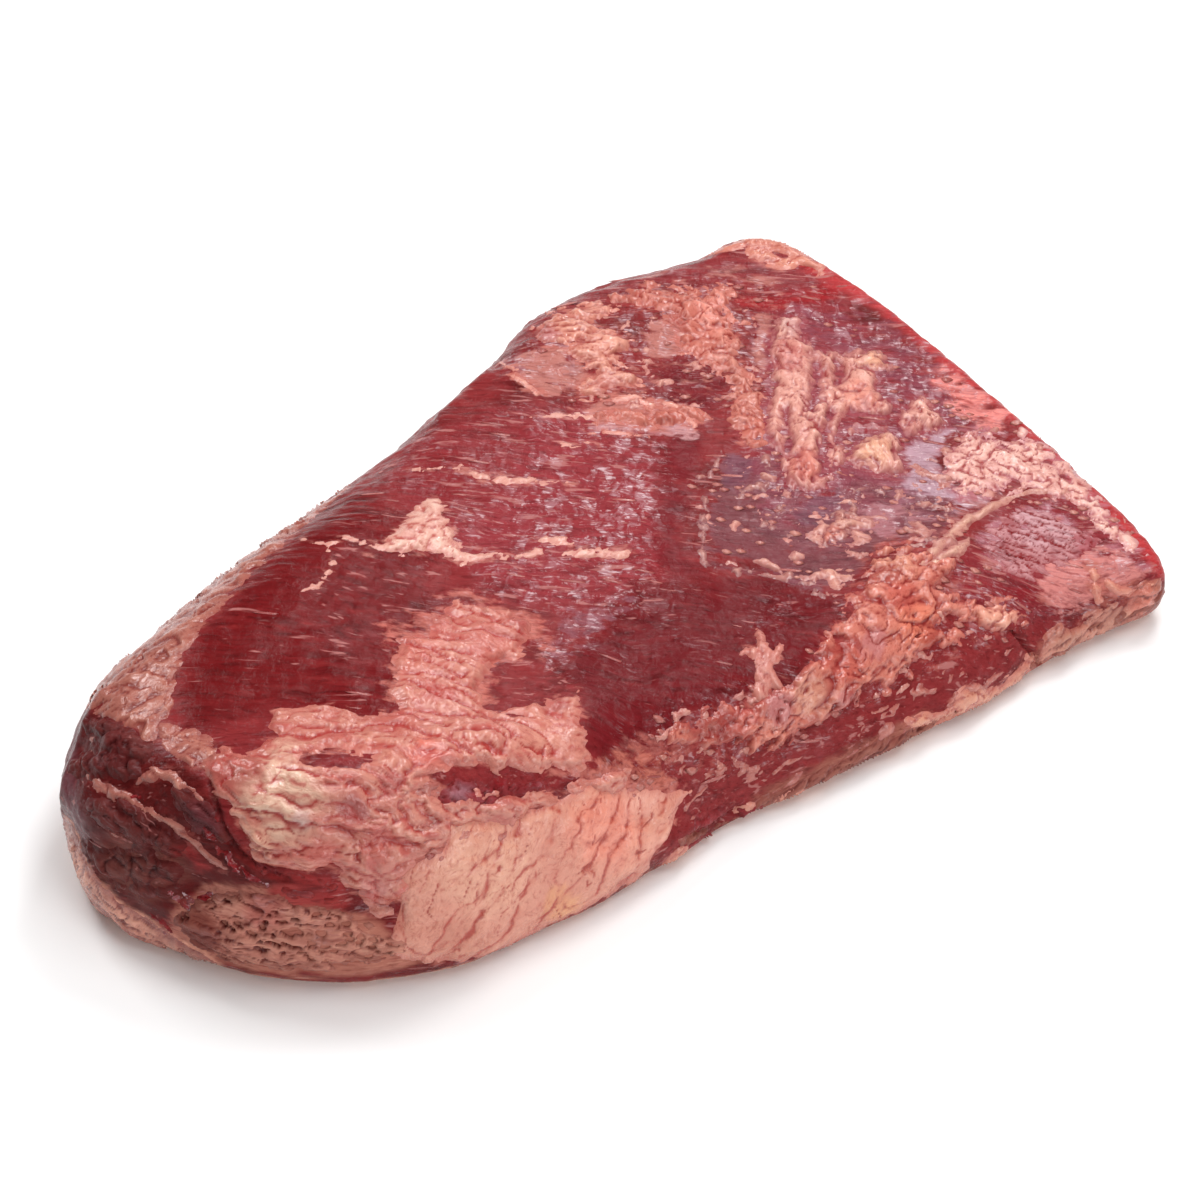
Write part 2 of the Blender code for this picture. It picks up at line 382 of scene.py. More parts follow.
# Fat on the sides turned away, in patches and in one wavy seam, in millimetres.
hiddenFat = {
    "patchSize": (44, 15, 15),
    "patchEdge": (0.25, 0.5),
    "seamHeight": 42,
    "seamWave": (12, 70),       # height and length of its waves
    "seamRipple": (3, 14),
    "seamEdge": (1.0, 3.2),     # from its middle line
    "gapSize": 40,
    "gapEdge": (-0.35, 0.1),
}


def sideFat(places, height, hidden):
    # the share of that fat, 0 to 1
    patches = roughNoise(places, hiddenFat["patchSize"], 51, 4)
    wave, waveLength = hiddenFat["seamWave"]
    ripple, rippleLength = hiddenFat["seamRipple"]
    seam = height / mm - hiddenFat["seamHeight"] - wave * softNoise(places, waveLength, 53)
    seam = np.abs(seam - ripple * softNoise(places, rippleLength, 54))
    gaps = smoothStep(*hiddenFat["gapEdge"], softNoise(places, hiddenFat["gapSize"], 55))
    seam = (1 - smoothStep(*hiddenFat["seamEdge"], seam)) * gaps
    return hidden * np.maximum(smoothStep(*hiddenFat["patchEdge"], patches), seam)


def makeBody():
    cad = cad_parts["brisket"]
    mesh = cad.data.copy()
    mesh.materials.clear()
    piece = newObject("raw_brisket", mesh)
    weld = piece.modifiers.new("weld", "WELD")
    weld.merge_threshold = 0.00001
    remesh = piece.modifiers.new("remesh", "REMESH")
    remesh.mode = "VOXEL"
    remesh.voxel_size = body["cell"]
    smooth = piece.modifiers.new("smooth", "SMOOTH")
    smooth.factor = 0.5
    smooth.iterations = body["smoothing"]
    mesh = settled(piece)
    points = meshPoints(mesh)
    normals = meshNormals(mesh)
    places = onSheet(points)
    grain = alongFibres(places)
    seen = smoothStep(*body["seen"], -normals @ sheetDrop)
    relief = body["bundle"] * roughNoise(grain, body["bundleSize"], 11)
    relief += body["lumps"] * roughNoise(places, body["lumpSize"], 21)
    for height, soft, shapes in carving:
        relief += seen * height * smoothStep(-soft, soft, insideShapes(places[:, :2], shapes))
    fat = sideFat(places, points[:, 2], 1 - seen)
    even, uneven = body["fatLumps"]
    relief += fat * (even + uneven * roughNoise(grain, body["fatLumpSize"], 56))
    free = smoothStep(*body["foot"], points[:, 2] / mm)
    points += normals * (relief * free * mm)[:, None]
    points[:, 2] = np.maximum(points[:, 2], 0.0)
    setPoints(mesh, points)
    spare = piece.vertex_groups.new(name="spare")
    hidden = 1 - smoothStep(*body["spare"], -normals @ sheetDrop)
    for share in np.unique(np.round(hidden, 1)):
        members = np.nonzero(np.round(hidden, 1) == share)[0].tolist()
        spare.add(members, float(share), "REPLACE")
    decimate = piece.modifiers.new("decimate", "DECIMATE")
    decimate.ratio = body["triangles"] / (2 * len(mesh.polygons))
    decimate.vertex_group = "spare"
    decimate.vertex_group_factor = body["sparePull"]
    decimate.use_collapse_triangulate = True
    mesh = settled(piece)
    piece.vertex_groups.clear()
    print("brisket: body has", len(mesh.polygons), "triangles from", len(points) * 2)
    return piece


meat = makeBody()


# Where small loose tufts of fat lie, as outlines on the sheet.
looseFat = {
    "plate": [(91, 98), (107, 93), (115, 68), (134, 63), (167, 69), (187, 83), (187, 59), (196, 42),
        (176, 31), (154, 38), (138, 13), (120, 18), (100, 27), (72, 26), (66, 40), (74, 68), (81, 83)],
    "upper": [(-10, 128), (20, 150), (60, 166), (110, 168), (104, 108), (60, 100), (20, 100), (0, 112)],
    "ropes": [(100, 152), (130, 160), (176, 134), (198, 100), (172, 74), (136, 52), (106, 52), (94, 92),
        (104, 108)],
    "band": [(50, -40), (78, -28), (118, -12), (140, 18), (170, 42), (200, 28), (222, 8), (205, -10),
        (180, -20), (144, -36), (100, -60), (50, -66)],
    "front": [(-44, -60), (-20, -80), (0, -80), (20, -66), (30, -54), (60, -62), (50, -78), (10, -88),
        (-40, -100), (-60, -96)],
    "wall": [(66, -52), (100, -58), (140, -40), (176, -20), (212, -10), (200, -30), (160, -50), (120, -66),
        (84, -84), (60, -80)],
    "strands": [(168, 92), (196, 100), (236, 94), (270, 50), (262, 34), (240, 52), (200, 52), (186, 72)],
    "rim": [(60, -104), (74, -92), (98, -82), (130, -66), (168, -46), (196, -34), (220, -20), (214, -28),
        (180, -48), (120, -78), (80, -96)],
}

# Fat laid on the meat. Each piece: outlines and strokes on the sheet, and how it stands on the meat,
# in millimetres.
fatHabit = {
    "cell": 0.7,         # grid
    "rise": 1.0,         # height above the meat
    "sink": 0.9,         # how deep the edge dives
    "edge": 3.0,         # width of the edge's slope
    "ragged": 4.0,       # how far the edge wanders
    "raggedSize": 6.0,
    "lay": 0.0,          # degrees that the folds lie round from across
    "stretch": 2.2,      # length of a fold over its width
    "lump": 2.6,         # height of the folds
    "lumpSize": 10.0,    # their width
    "layers": 2.0,       # how many overlap
    "lobes": 0.0,        # share of round lobes in them
    "sway": 1.0,         # how much the folds wander
    "grainSize": 3.0,    # small lobules
    "grainy": 0.0,       # -1 nowhere, 1 all over
    "pits": 0.0,         # depth of the holes of a sponge
    "pitSize": 4.0,
    "crease": 0.6,       # depth of the wrinkles
    "creaseSize": 9.0,
    "creaseWidth": 0.07,
    "blush": 0.45,       # share of red in it
    "wet": 0.4,
    "holes": 0.0,        # share of the meat that shows through
    "holeSize": 6.0,
    "tufts": -9.0,       # above -1 the piece breaks up into tufts, fewer as it grows
    "tuftSize": 7.0,
    "gaps": [],          # shapes cut out of it
    "tone": (214, 160, 138),
    # red of the blush patches and of the furrows; in the furrows it is partly painted shade
    "furrow": (172, 84, 74),
    "thin": (196, 116, 104),
    "spots": [],         # (across, up, reach, colour, strength)
}

fatPieces = {
    "seam_fat": {
        "shapes": [[(-109, -34), (-90, -33), (-64, -36), (-58, -30), (-59, -14), (-57, -4), (-46, 0),
           (-42, 6), (-34, 13), (-27, 9), (-12, 6), (-3, 3), (-3, -6), (-8, -15), (-18, -19), (-21, -27),
           (-18, -34), (-2, -33), (12, -29), (20, -26), (21, -44), (24, -59), (12, -62), (-2, -60),
           (-20, -58), (-36, -60), (-46, -66), (-34, -68), (-14, -68), (10, -66), (24, -62), (40, -60),
           (36, -68), (12, -73), (-2, -78), (-24, -82), (-42, -92), (-50, -98), (-52, -110), (-62, -118),
           (-72, -107), (-80, -98), (-92, -99), (-103, -97), (-112, -90), (-118, -80), (-122, -70),
           (-130, -64), (-130, -52), (-118, -45)]],
        "gaps": [[(-90, -52, 1), (-80, -53, 6), (-66, -53, 2)], [(-16, -28, 1), (-4, -26, 4), (10, -23, 1)],
          [(-138, -34), (-132, -43), (-124, -46), (-117, -51), (-111, -49), (-108, -40), (-110, -28)]],
        "rise": 1.2, "lump": 2.9, "lumpSize": 8.5, "stretch": 3.0, "blush": 0.7, "grainy": 0.3,
        "grainSize": 3.2, "layers": 1.3, "lay": -12.0, "tone": (196, 124, 109), "furrow": (176, 70, 66),
        "wet": 0.6,
        "spots": [(-102, -68, 26, (224, 182, 158), 0.9), (-112, -84, 12, (212, 146, 124), 0.6),
          (-72, -71, 9, (150, 70, 74), 0.7), (-44, -51, 8, (216, 112, 94), 0.8),
          (-52, -6, 20, (192, 98, 86), 0.6), (-60, -45, 16, (198, 126, 108), 0.7),
          (-20, -8, 16, (188, 98, 90), 0.6), (-64, -106, 9, (198, 122, 114), 0.8),
          (5, -42, 12, (206, 134, 116), 0.7), (-64, -35, 12, (178, 98, 86), 0.8),
          (-2, 0, 12, (166, 88, 86), 0.8), (-92, -76, 7, (186, 150, 146), 0.7),
          (-84, -88, 10, (198, 106, 96), 0.7), (-62, -86, 9, (186, 88, 80), 0.7),
          (-48, -78, 9, (204, 134, 118), 0.6), (-98, -90, 7, (190, 98, 88), 0.7),
          (-56, -62, 6, (172, 84, 84), 0.6), (-121, -54, 20, (160, 84, 74), 0.9),
          (8, -30, 10, (158, 80, 78), 0.8), (-39, -55, 9, (214, 130, 116), 0.8),
          (-42, 6, 10, (164, 76, 70), 0.8)],
    },
    "front_fat": {
        "shapes": [[(-38, -76), (-19, -77), (0, -73), (13, -70), (24, -65), (34, -67), (48, -68), (67, -69),
           (62, -76), (58, -88), (51, -97), (48, -105), (36, -112), (20, -121), (0, -129), (-22, -138),
           (-54, -137), (-57, -124), (-53, -107), (-50, -96), (-36, -88)]],
        "rise": 0.8, "ragged": 2.0, "lump": 1.2, "lumpSize": 14.0, "lay": 70.0, "stretch": 2.6,
        "creaseWidth": 0.035, "grainy": -1.0, "blush": 0.2, "layers": 0.8, "tone": (214, 144, 124),
        "furrow": (186, 90, 74),
        "spots": [(-20, -100, 26, (222, 160, 136), 0.8), (30, -84, 22, (226, 136, 116), 0.8),
          (12, -115, 10, (226, 160, 116), 0.7), (-30, -130, 16, (196, 124, 104), 0.7),
          (46, -72, 12, (230, 164, 146), 0.8), (56, -96, 14, (236, 168, 148), 0.9)],
    },
    "yellow_fat": {
        "shapes": [[(-5, 140), (2, 147), (14, 152), (33, 157), (34, 151), (27, 144), (38, 137), (40, 131),
           (36, 123), (47, 115), (49, 111), (39, 109), (21, 105), (18, 111), (24, 118), (14, 128), (9, 133),
           (1, 134)]],
        "tone": (208, 138, 120), "furrow": (162, 76, 70), "lumpSize": 8.0, "ragged": 6.0, "lump": 3.0,
        "lobes": 0.45, "holes": 0.3, "wet": 0.8,
        "spots": [(2, 136, 10, (176, 106, 108), 0.8), (30, 112, 9, (188, 116, 108), 0.7)],
    },
    "orange_fat": {
        "shapes": [[(33, 157), (46, 163), (51, 167), (63, 164), (73, 162), (86, 166), (96, 162), (87, 153),
           (91, 148), (102, 146), (97, 142), (94, 134), (96, 125), (100, 118), (105, 110), (105, 103),
           (106, 88), (98, 82), (91, 86), (87, 93), (90, 102), (88, 110), (87, 118), (78, 123), (70, 128),
           (65, 132), (64, 141), (59, 149), (49, 151), (47, 153), (34, 153)],
          [(27, 96, 4), (40, 97, 7), (52, 95, 8), (64, 97, 7), (78, 97, 4)]],
        "tone": (188, 104, 90), "furrow": (156, 58, 50), "lump": 3.2, "wet": 0.9, "crease": 1.0,
        "lobes": 0.4, "holes": 0.3, "lumpSize": 8.0, "ragged": 6.0, "lay": -40.0, "stretch": 1.8,
        "spots": [(96, 118, 28, (196, 122, 108), 0.9), (60, 142, 11, (156, 64, 60), 0.9),
          (88, 148, 18, (222, 140, 124), 0.8)],
    },
    "rope_fat": {
        "shapes": [[(109, 133), (111, 140), (115, 148), (124, 149), (126, 140), (133, 132), (143, 130),
           (155, 131), (164, 130), (167, 122), (161, 119), (162, 109), (167, 102), (162, 98), (152, 99),
           (142, 96), (139, 85), (143, 77), (137, 72), (132, 65), (120, 62), (113, 65), (111, 77),
           (106, 85), (105, 98), (107, 108), (109, 118)],
          [(141, 78), (150, 85), (162, 90), (168, 85), (166, 78), (170, 71), (158, 68), (149, 72)],
          [(168, 97), (173, 104), (181, 108), (187, 100), (192, 95), (185, 91), (178, 88), (171, 88)],
          [(144, 90, 3), (151, 94, 5), (160, 92, 4)]],
        "gaps": [[(130, 130, 0.6), (131, 116, 1.2), (127, 100, 0.8)], [(115, 99, 0.6), (115, 80, 1.2)],
          [(141, 128, 0.6), (142, 116, 1.1)], [(136, 98, 0.6), (131, 82, 1.2), (131, 70, 0.6)]],
        "rise": 1.8, "ragged": 3.0, "lumpSize": 9.0, "lump": 3.2, "lay": -78.0, "stretch": 1.7,
        "layers": 0.8, "grainy": -1.0, "lobes": 0.55, "wet": 1.0, "crease": 0.8, "tone": (214, 150, 136),
        "furrow": (150, 48, 54), "thin": (150, 72, 80), "blush": 0.5,
        "spots": [(152, 92, 8, (206, 164, 166), 0.9), (155, 80, 12, (220, 160, 128), 0.7),
          (122, 72, 12, (204, 116, 102), 0.8), (150, 106, 12, (220, 138, 120), 0.7),
          (120, 143, 7, (206, 160, 154), 0.8), (160, 126, 9, (224, 160, 130), 0.7),
          (118, 127, 11, (190, 110, 102), 0.8)],
    },
    "loose_fat": {
        "shapes": [looseFat["plate"], looseFat["upper"], looseFat["band"], looseFat["strands"]],
        "rise": 0.9, "lump": 1.8, "lumpSize": 6.0, "stretch": 1.5, "lay": 35.0, "ragged": 3.0,
        "raggedSize": 4.0, "tufts": 0.42, "tone": (206, 144, 130), "furrow": (156, 70, 68),
        "thin": (176, 100, 96),
    },
    "wall_shreds": {
        "shapes": [looseFat["wall"], looseFat["front"]],
        "rise": 0.6, "lump": 1.5, "lumpSize": 5.0, "stretch": 3.2, "lay": 28.0, "ragged": 3.0,
        "raggedSize": 4.0, "tufts": 0.2, "tuftSize": 6.0, "tone": (186, 112, 100), "furrow": (140, 56, 52),
        "thin": (156, 76, 72), "wet": 0.8,
    },
    "plate_tufts": {
        "shapes": [[(112, 30), (132, 52), (152, 62), (172, 74), (190, 86), (198, 74), (190, 60), (198, 44),
           (180, 33), (154, 38), (136, 14), (120, 18)], [(84, 28, 3), (100, 28, 5), (118, 19, 5)],
          [(104, 68, 4), (112, 62, 5), (116, 50, 4)]],
        "rise": 1.2, "lump": 2.4, "lumpSize": 8.0, "stretch": 1.6, "lay": -35.0, "ragged": 3.0,
        "raggedSize": 4.0, "tufts": 0.1, "tuftSize": 10.0, "wet": 1.0, "lobes": 0.4,
        "tone": (208, 146, 130), "furrow": (150, 70, 68), "thin": (166, 100, 100),
    },
    "plate_dabs": {
        "shapes": [[(107, 49), (110, 55), (116, 58), (123, 60), (118, 55), (112, 52)],
          [(127, 36), (129, 44), (133, 48), (138, 52), (142, 46), (141, 40), (134, 36)],
          [(91, 59, 3), (97, 63, 4), (105, 64, 3)],
          [(144, 49, 3), (142, 56, 4), (145, 61, 4), (152, 63, 4), (159, 59, 3)],
          [(166, 48, 3), (171, 54, 3.5), (179, 55, 3.5), (185, 53, 3), (186, 47, 2.4)],
          [(165, 37, 4), (171, 36, 5), (177, 39, 3)],
          [(73, 32, 3.5), (76, 27, 3.5), (83, 26, 3), (91, 24, 2.4), (102, 22, 2.6), (112, 21, 3),
           (121, 17, 3), (128, 13, 2.4)], [(76, 58, 3), (74, 49, 4), (74, 40, 4), (73, 32, 3)],
          [(72, 67, 3), (78, 69, 3.4), (83, 77, 2.6)], [(101, 83, 3), (105, 75, 4), (109, 69, 3)],
          [(101, 45, 2), (107, 43, 2.4), (114, 40, 2.4), (119, 37, 2)]],
        "rise": 0.7, "ragged": 3.4, "raggedSize": 4.0, "lump": 1.5, "lumpSize": 5.0, "stretch": 1.5,
        "lay": -35.0, "wet": 1.0, "lobes": 0.3, "tone": (190, 128, 116), "furrow": (144, 74, 74),
        "thin": (126, 72, 80),
        "spots": [(132, 40, 8, (196, 106, 90), 0.8), (116, 56, 12, (186, 134, 120), 0.7)],
    },
    "cracked_fat": {
        "shapes": [[(189, 81), (197, 88), (206, 91), (219, 86), (231, 86), (239, 79), (252, 64), (262, 50),
           (267, 38), (261, 37), (254, 46), (246, 54), (232, 60), (220, 66), (214, 60), (206, 58),
           (195, 60), (187, 68)], [(216, 60, 4), (228, 66, 5), (240, 66, 4)],
          [(226, 88, 8), (240, 76, 9), (252, 62, 9), (264, 42, 8), (274, 30, 6)]],
        "rise": 0.6, "lump": 1.5, "lumpSize": 7.0, "ragged": 5.0, "crease": 0.9, "creaseSize": 6.0,
        "lay": -40.0, "stretch": 1.3, "grainy": 0.5, "grainSize": 2.6, "holes": 0.3, "wet": 0.8,
        "tone": (224, 168, 156), "furrow": (164, 72, 76), "thin": (180, 110, 118),
    },
    "strand_fat": {
        "shapes": [[(166, 24, 3), (176, 31, 5), (188, 42, 5.5), (205, 52, 5), (221, 60, 4), (240, 62, 3.5),
           (250, 58, 3)], [(172, 26), (182, 34), (195, 39), (193, 33), (184, 28), (176, 23)]],
        "rise": 1.6, "ragged": 1.6, "raggedSize": 5.0, "lump": 1.4, "lumpSize": 7.0, "lay": 35.0,
        "stretch": 2.6, "crease": 0.8, "creaseSize": 5.0, "wet": 0.7, "tone": (218, 166, 144),
        "furrow": (164, 92, 84), "thin": (176, 108, 104),
    },
    "band_fat": {
        "shapes": [[(56, -44), (72, -36), (88, -33), (104, -25), (114, -21), (120, -12), (134, 6),
           (146, 20), (153, 32), (167, 36), (176, 30), (185, 29), (187, 24), (182, 18), (189, 12),
           (205, 10), (218, 5), (211, -2), (191, -5), (175, -11), (156, -24), (144, -28), (137, -36),
           (124, -42), (102, -52), (77, -52), (66, -50)]],
        "gaps": [[(178, -1, 2), (186, -1, 6), (192, -2, 2)]],
        "rise": 1.3, "lump": 2.8, "lumpSize": 8.0, "ragged": 7.0, "lay": 40.0, "stretch": 1.9,
        "grainy": 0.3, "lobes": 0.3, "layers": 1.4, "wet": 0.9, "holes": 0.3, "tone": (200, 116, 100),
        "furrow": (146, 44, 42), "thin": (172, 80, 74), "blush": 0.7,
        "spots": [(72, -40, 18, (158, 76, 68), 0.9), (92, -32, 12, (168, 82, 72), 0.8),
          (168, 0, 16, (214, 116, 92), 0.8), (205, 4, 12, (226, 160, 138), 0.8),
          (158, 26, 12, (212, 144, 120), 0.7), (118, -30, 14, (206, 144, 122), 0.7),
          (132, -16, 12, (184, 84, 72), 0.8), (104, -34, 9, (180, 112, 112), 0.8),
          (88, -40, 9, (196, 104, 92), 0.7), (146, -8, 8, (186, 116, 116), 0.7),
          (134, -34, 9, (176, 104, 104), 0.7), (160, 14, 9, (192, 88, 76), 0.7)],
    },
    "star_fat": {
        "shapes": [[(-67, 33), (-66, 39), (-59, 47), (-53, 54), (-50, 58), (-43, 57), (-41, 48), (-37, 43),
           (-35, 36), (-28, 32), (-22, 29), (-34, 27), (-44, 31), (-53, 32), (-62, 31)],
          [(-84, 39, 2), (-74, 35, 3), (-64, 34, 3)], [(-30, 31, 3), (-12, 30, 2.4), (1, 33, 3)],
          [(-4, 37, 2), (7, 38, 4), (15, 36, 2)], [(12, 32, 3), (29, 32, 5.5), (45, 32, 3)],
          [(-57, 70, 1.4), (-39, 71, 2.4), (-22, 66, 3.4), (-4, 65, 3.4), (13, 65, 2)],
          [(-4, 96, 2), (10, 97, 3.6), (26, 97, 3)], [(10, 83, 1.8), (23, 84, 2.2)],
          [(-92, 36, 2.4), (-88, 28, 2.4), (-92, 18, 2.4), (-98, 15, 2.0)],
          [(-102, 37, 1.6), (-91, 36, 2), (-82, 38, 1.6)], [(-49, 47, 7), (-46, 55, 6)]],
        "ragged": 2.4, "raggedSize": 4.0, "lump": 1.2, "lumpSize": 6.0, "lay": 30.0,
        "tone": (222, 170, 154), "furrow": (190, 112, 102), "thin": (200, 130, 118),
    },
    "tuft_fat": {
        "shapes": [[(97, -30, 8), (98, -20, 8), (99, -13, 9)], [(90, -11, 4), (97, -12, 6)],
          [(97, -3, 3), (98, -11, 6)], [(106, -9, 3), (102, -14, 6)], [(104, -26, 5), (100, -18, 5)]],
        "rise": 2.0, "ragged": 1.4, "raggedSize": 3.0, "lump": 1.8, "lumpSize": 5.0, "lay": 90.0,
        "tone": (202, 134, 122), "furrow": (170, 88, 82),
    },
    "flank_fat": {
        "shapes": [[(-80, 72), (-86, 62), (-105, 41), (-119, 25), (-135, 5), (-143, -11), (-147, -21),
           (-148, -30), (-148, -38), (-152, -40), (-152, -47), (-158, -46), (-166, -41), (-180, -36),
           (-196, -34), (-200, -20), (-162, 10), (-128, 40), (-95, 72)]],
        "rise": 0.8, "ragged": 3.5, "lump": 1.4, "lumpSize": 8.0, "crease": 0.9, "creaseSize": 6.0,
        "lay": 40.0, "tone": (170, 102, 88), "furrow": (138, 66, 58), "thin": (160, 84, 74),
        "spots": [(-146, -44, 14, (152, 82, 72), 0.8)],
    },
    "apex_fat": {
        "shapes": [[(74, 182, 3), (92, 188, 5), (110, 190, 8), (124, 184, 9), (136, 176, 7)],
          [(104, 184, 8), (122, 178, 9)]],
        "rise": 0.9, "ragged": 2.5, "lump": 1.2, "lumpSize": 6.0, "tone": (204, 130, 110),
    },
    "corner_fat": {
        "shapes": [[(250, 24, 3), (251, 18, 4.5), (253, 11, 3.5)],
          [(257, 19, 3), (263, 15, 5), (271, 16, 5), (279, 19, 3)]],
        "rise": 1.8, "ragged": 2.0, "lump": 1.2, "lumpSize": 4.5, "tone": (224, 156, 132),
    },
    "end_fat": {
        "shapes": [[(-186, -57, 3), (-180, -62, 5.5), (-172, -67, 5.5), (-164, -69, 4.4), (-158, -74, 5.5),
           (-150, -77, 4), (-141, -82, 5), (-133, -90, 4), (-124, -97, 3)],
          [(-160, -63, 3), (-155, -60, 5.5), (-149, -59, 6), (-143, -62, 5.5), (-141, -68, 4)],
          [(-157, -75, 1.6), (-150, -84, 2), (-148, -96, 1.4)],
          [(-172, -68, 1.6), (-166, -78, 2), (-168, -88, 1.2)],
          [(-154, -39), (-146, -39), (-136, -42), (-130, -45), (-126, -51), (-128, -55), (-136, -57),
           (-143, -54), (-151, -48)], [(-132, -56, 3), (-125, -58, 5), (-118, -64, 5)],
          [(-183, -43, 1.2), (-182, -52, 1.8), (-184, -58, 1.2)],
          [(-180, -46, 1), (-172, -44, 1.4), (-166, -50, 1)],
          [(-176, -80, 1), (-168, -86, 1.5), (-158, -84, 1)],
          [(-146, -62, 2), (-138, -64, 3), (-132, -70, 2.4)],
          [(-150, -76, 2), (-152, -84, 2.4), (-146, -92, 1.6)],
          [(-196, -84, 8), (-188, -102, 12), (-177, -116, 13), (-156, -129, 11), (-134, -141, 7)]],
        "ragged": 1.6, "raggedSize": 3.5, "lump": 1.8, "lumpSize": 5.0, "lay": -30.0, "edge": 2.2,
        "tone": (192, 126, 110), "furrow": (136, 60, 54), "thin": (150, 76, 70),
        "spots": [(-140, -48, 18, (176, 106, 92), 0.9), (-192, -104, 22, (228, 156, 134), 0.9),
          (-170, -126, 22, (222, 148, 126), 0.9)],
    },
    "rim_fat": {
        "shapes": [[(223, -12), (219, -12), (215, -18), (210, -23), (201, -27), (190, -27), (185, -32),
           (177, -37), (169, -38), (162, -41), (166, -46), (179, -45), (189, -41), (199, -36), (210, -30),
           (219, -24), (224, -18)], [(86, -78, 3), (98, -78, 5), (112, -73, 5), (120, -69, 3)],
          [(52, -104, 3), (62, -97, 4), (66, -95, 2)]],
        "rise": 1.2, "ragged": 2.5, "lump": 1.6, "lumpSize": 6.0, "lay": 25.0, "tone": (206, 138, 116),
        "spots": [(206, -24, 4, (120, 50, 44), 0.9), (214, -20, 3, (130, 60, 50), 0.8),
          (192, -30, 3, (150, 76, 64), 0.7)],
    },
    "wall_fat": {
        "shapes": [[(224, -15), (226, -6), (234, 0), (241, 0), (247, 6), (254, 9), (255, 13), (261, 11),
           (268, 13), (273, 19), (282, 21), (285, 18), (284, 12), (278, 5), (269, 0), (257, -7), (236, -14),
           (226, -18)]],
        "rise": 0.9, "ragged": 2.5, "lump": 2.2, "lumpSize": 6.0, "lay": 28.0, "stretch": 2.4,
        "tone": (192, 122, 104), "furrow": (130, 60, 52), "thin": (164, 88, 78), "blush": 0.5,
        "spots": [(272, 14, 12, (206, 108, 92), 0.7), (240, -10, 12, (168, 110, 92), 0.6),
          (262, 0, 12, (176, 116, 98), 0.6)],
    },
    "fat_beads": {
        "shapes": [[(34, 105, 3), (44, 106, 4), (52, 102, 4)], [(58, 104, 3), (66, 100, 5), (72, 93, 4)],
          [(22, 88, 2), (34, 89, 3), (46, 87, 2)], [(-14, 117, 2), (-8, 113, 3), (-2, 108, 2)],
          [(-20, 124, 2), (-12, 119, 2.4)], [(236, 46, 2), (238, 39, 3), (239, 34, 2)]],
        "ragged": 1.8, "raggedSize": 3.0, "lump": 0.9, "lumpSize": 3.5, "tone": (222, 158, 142),
    },
}


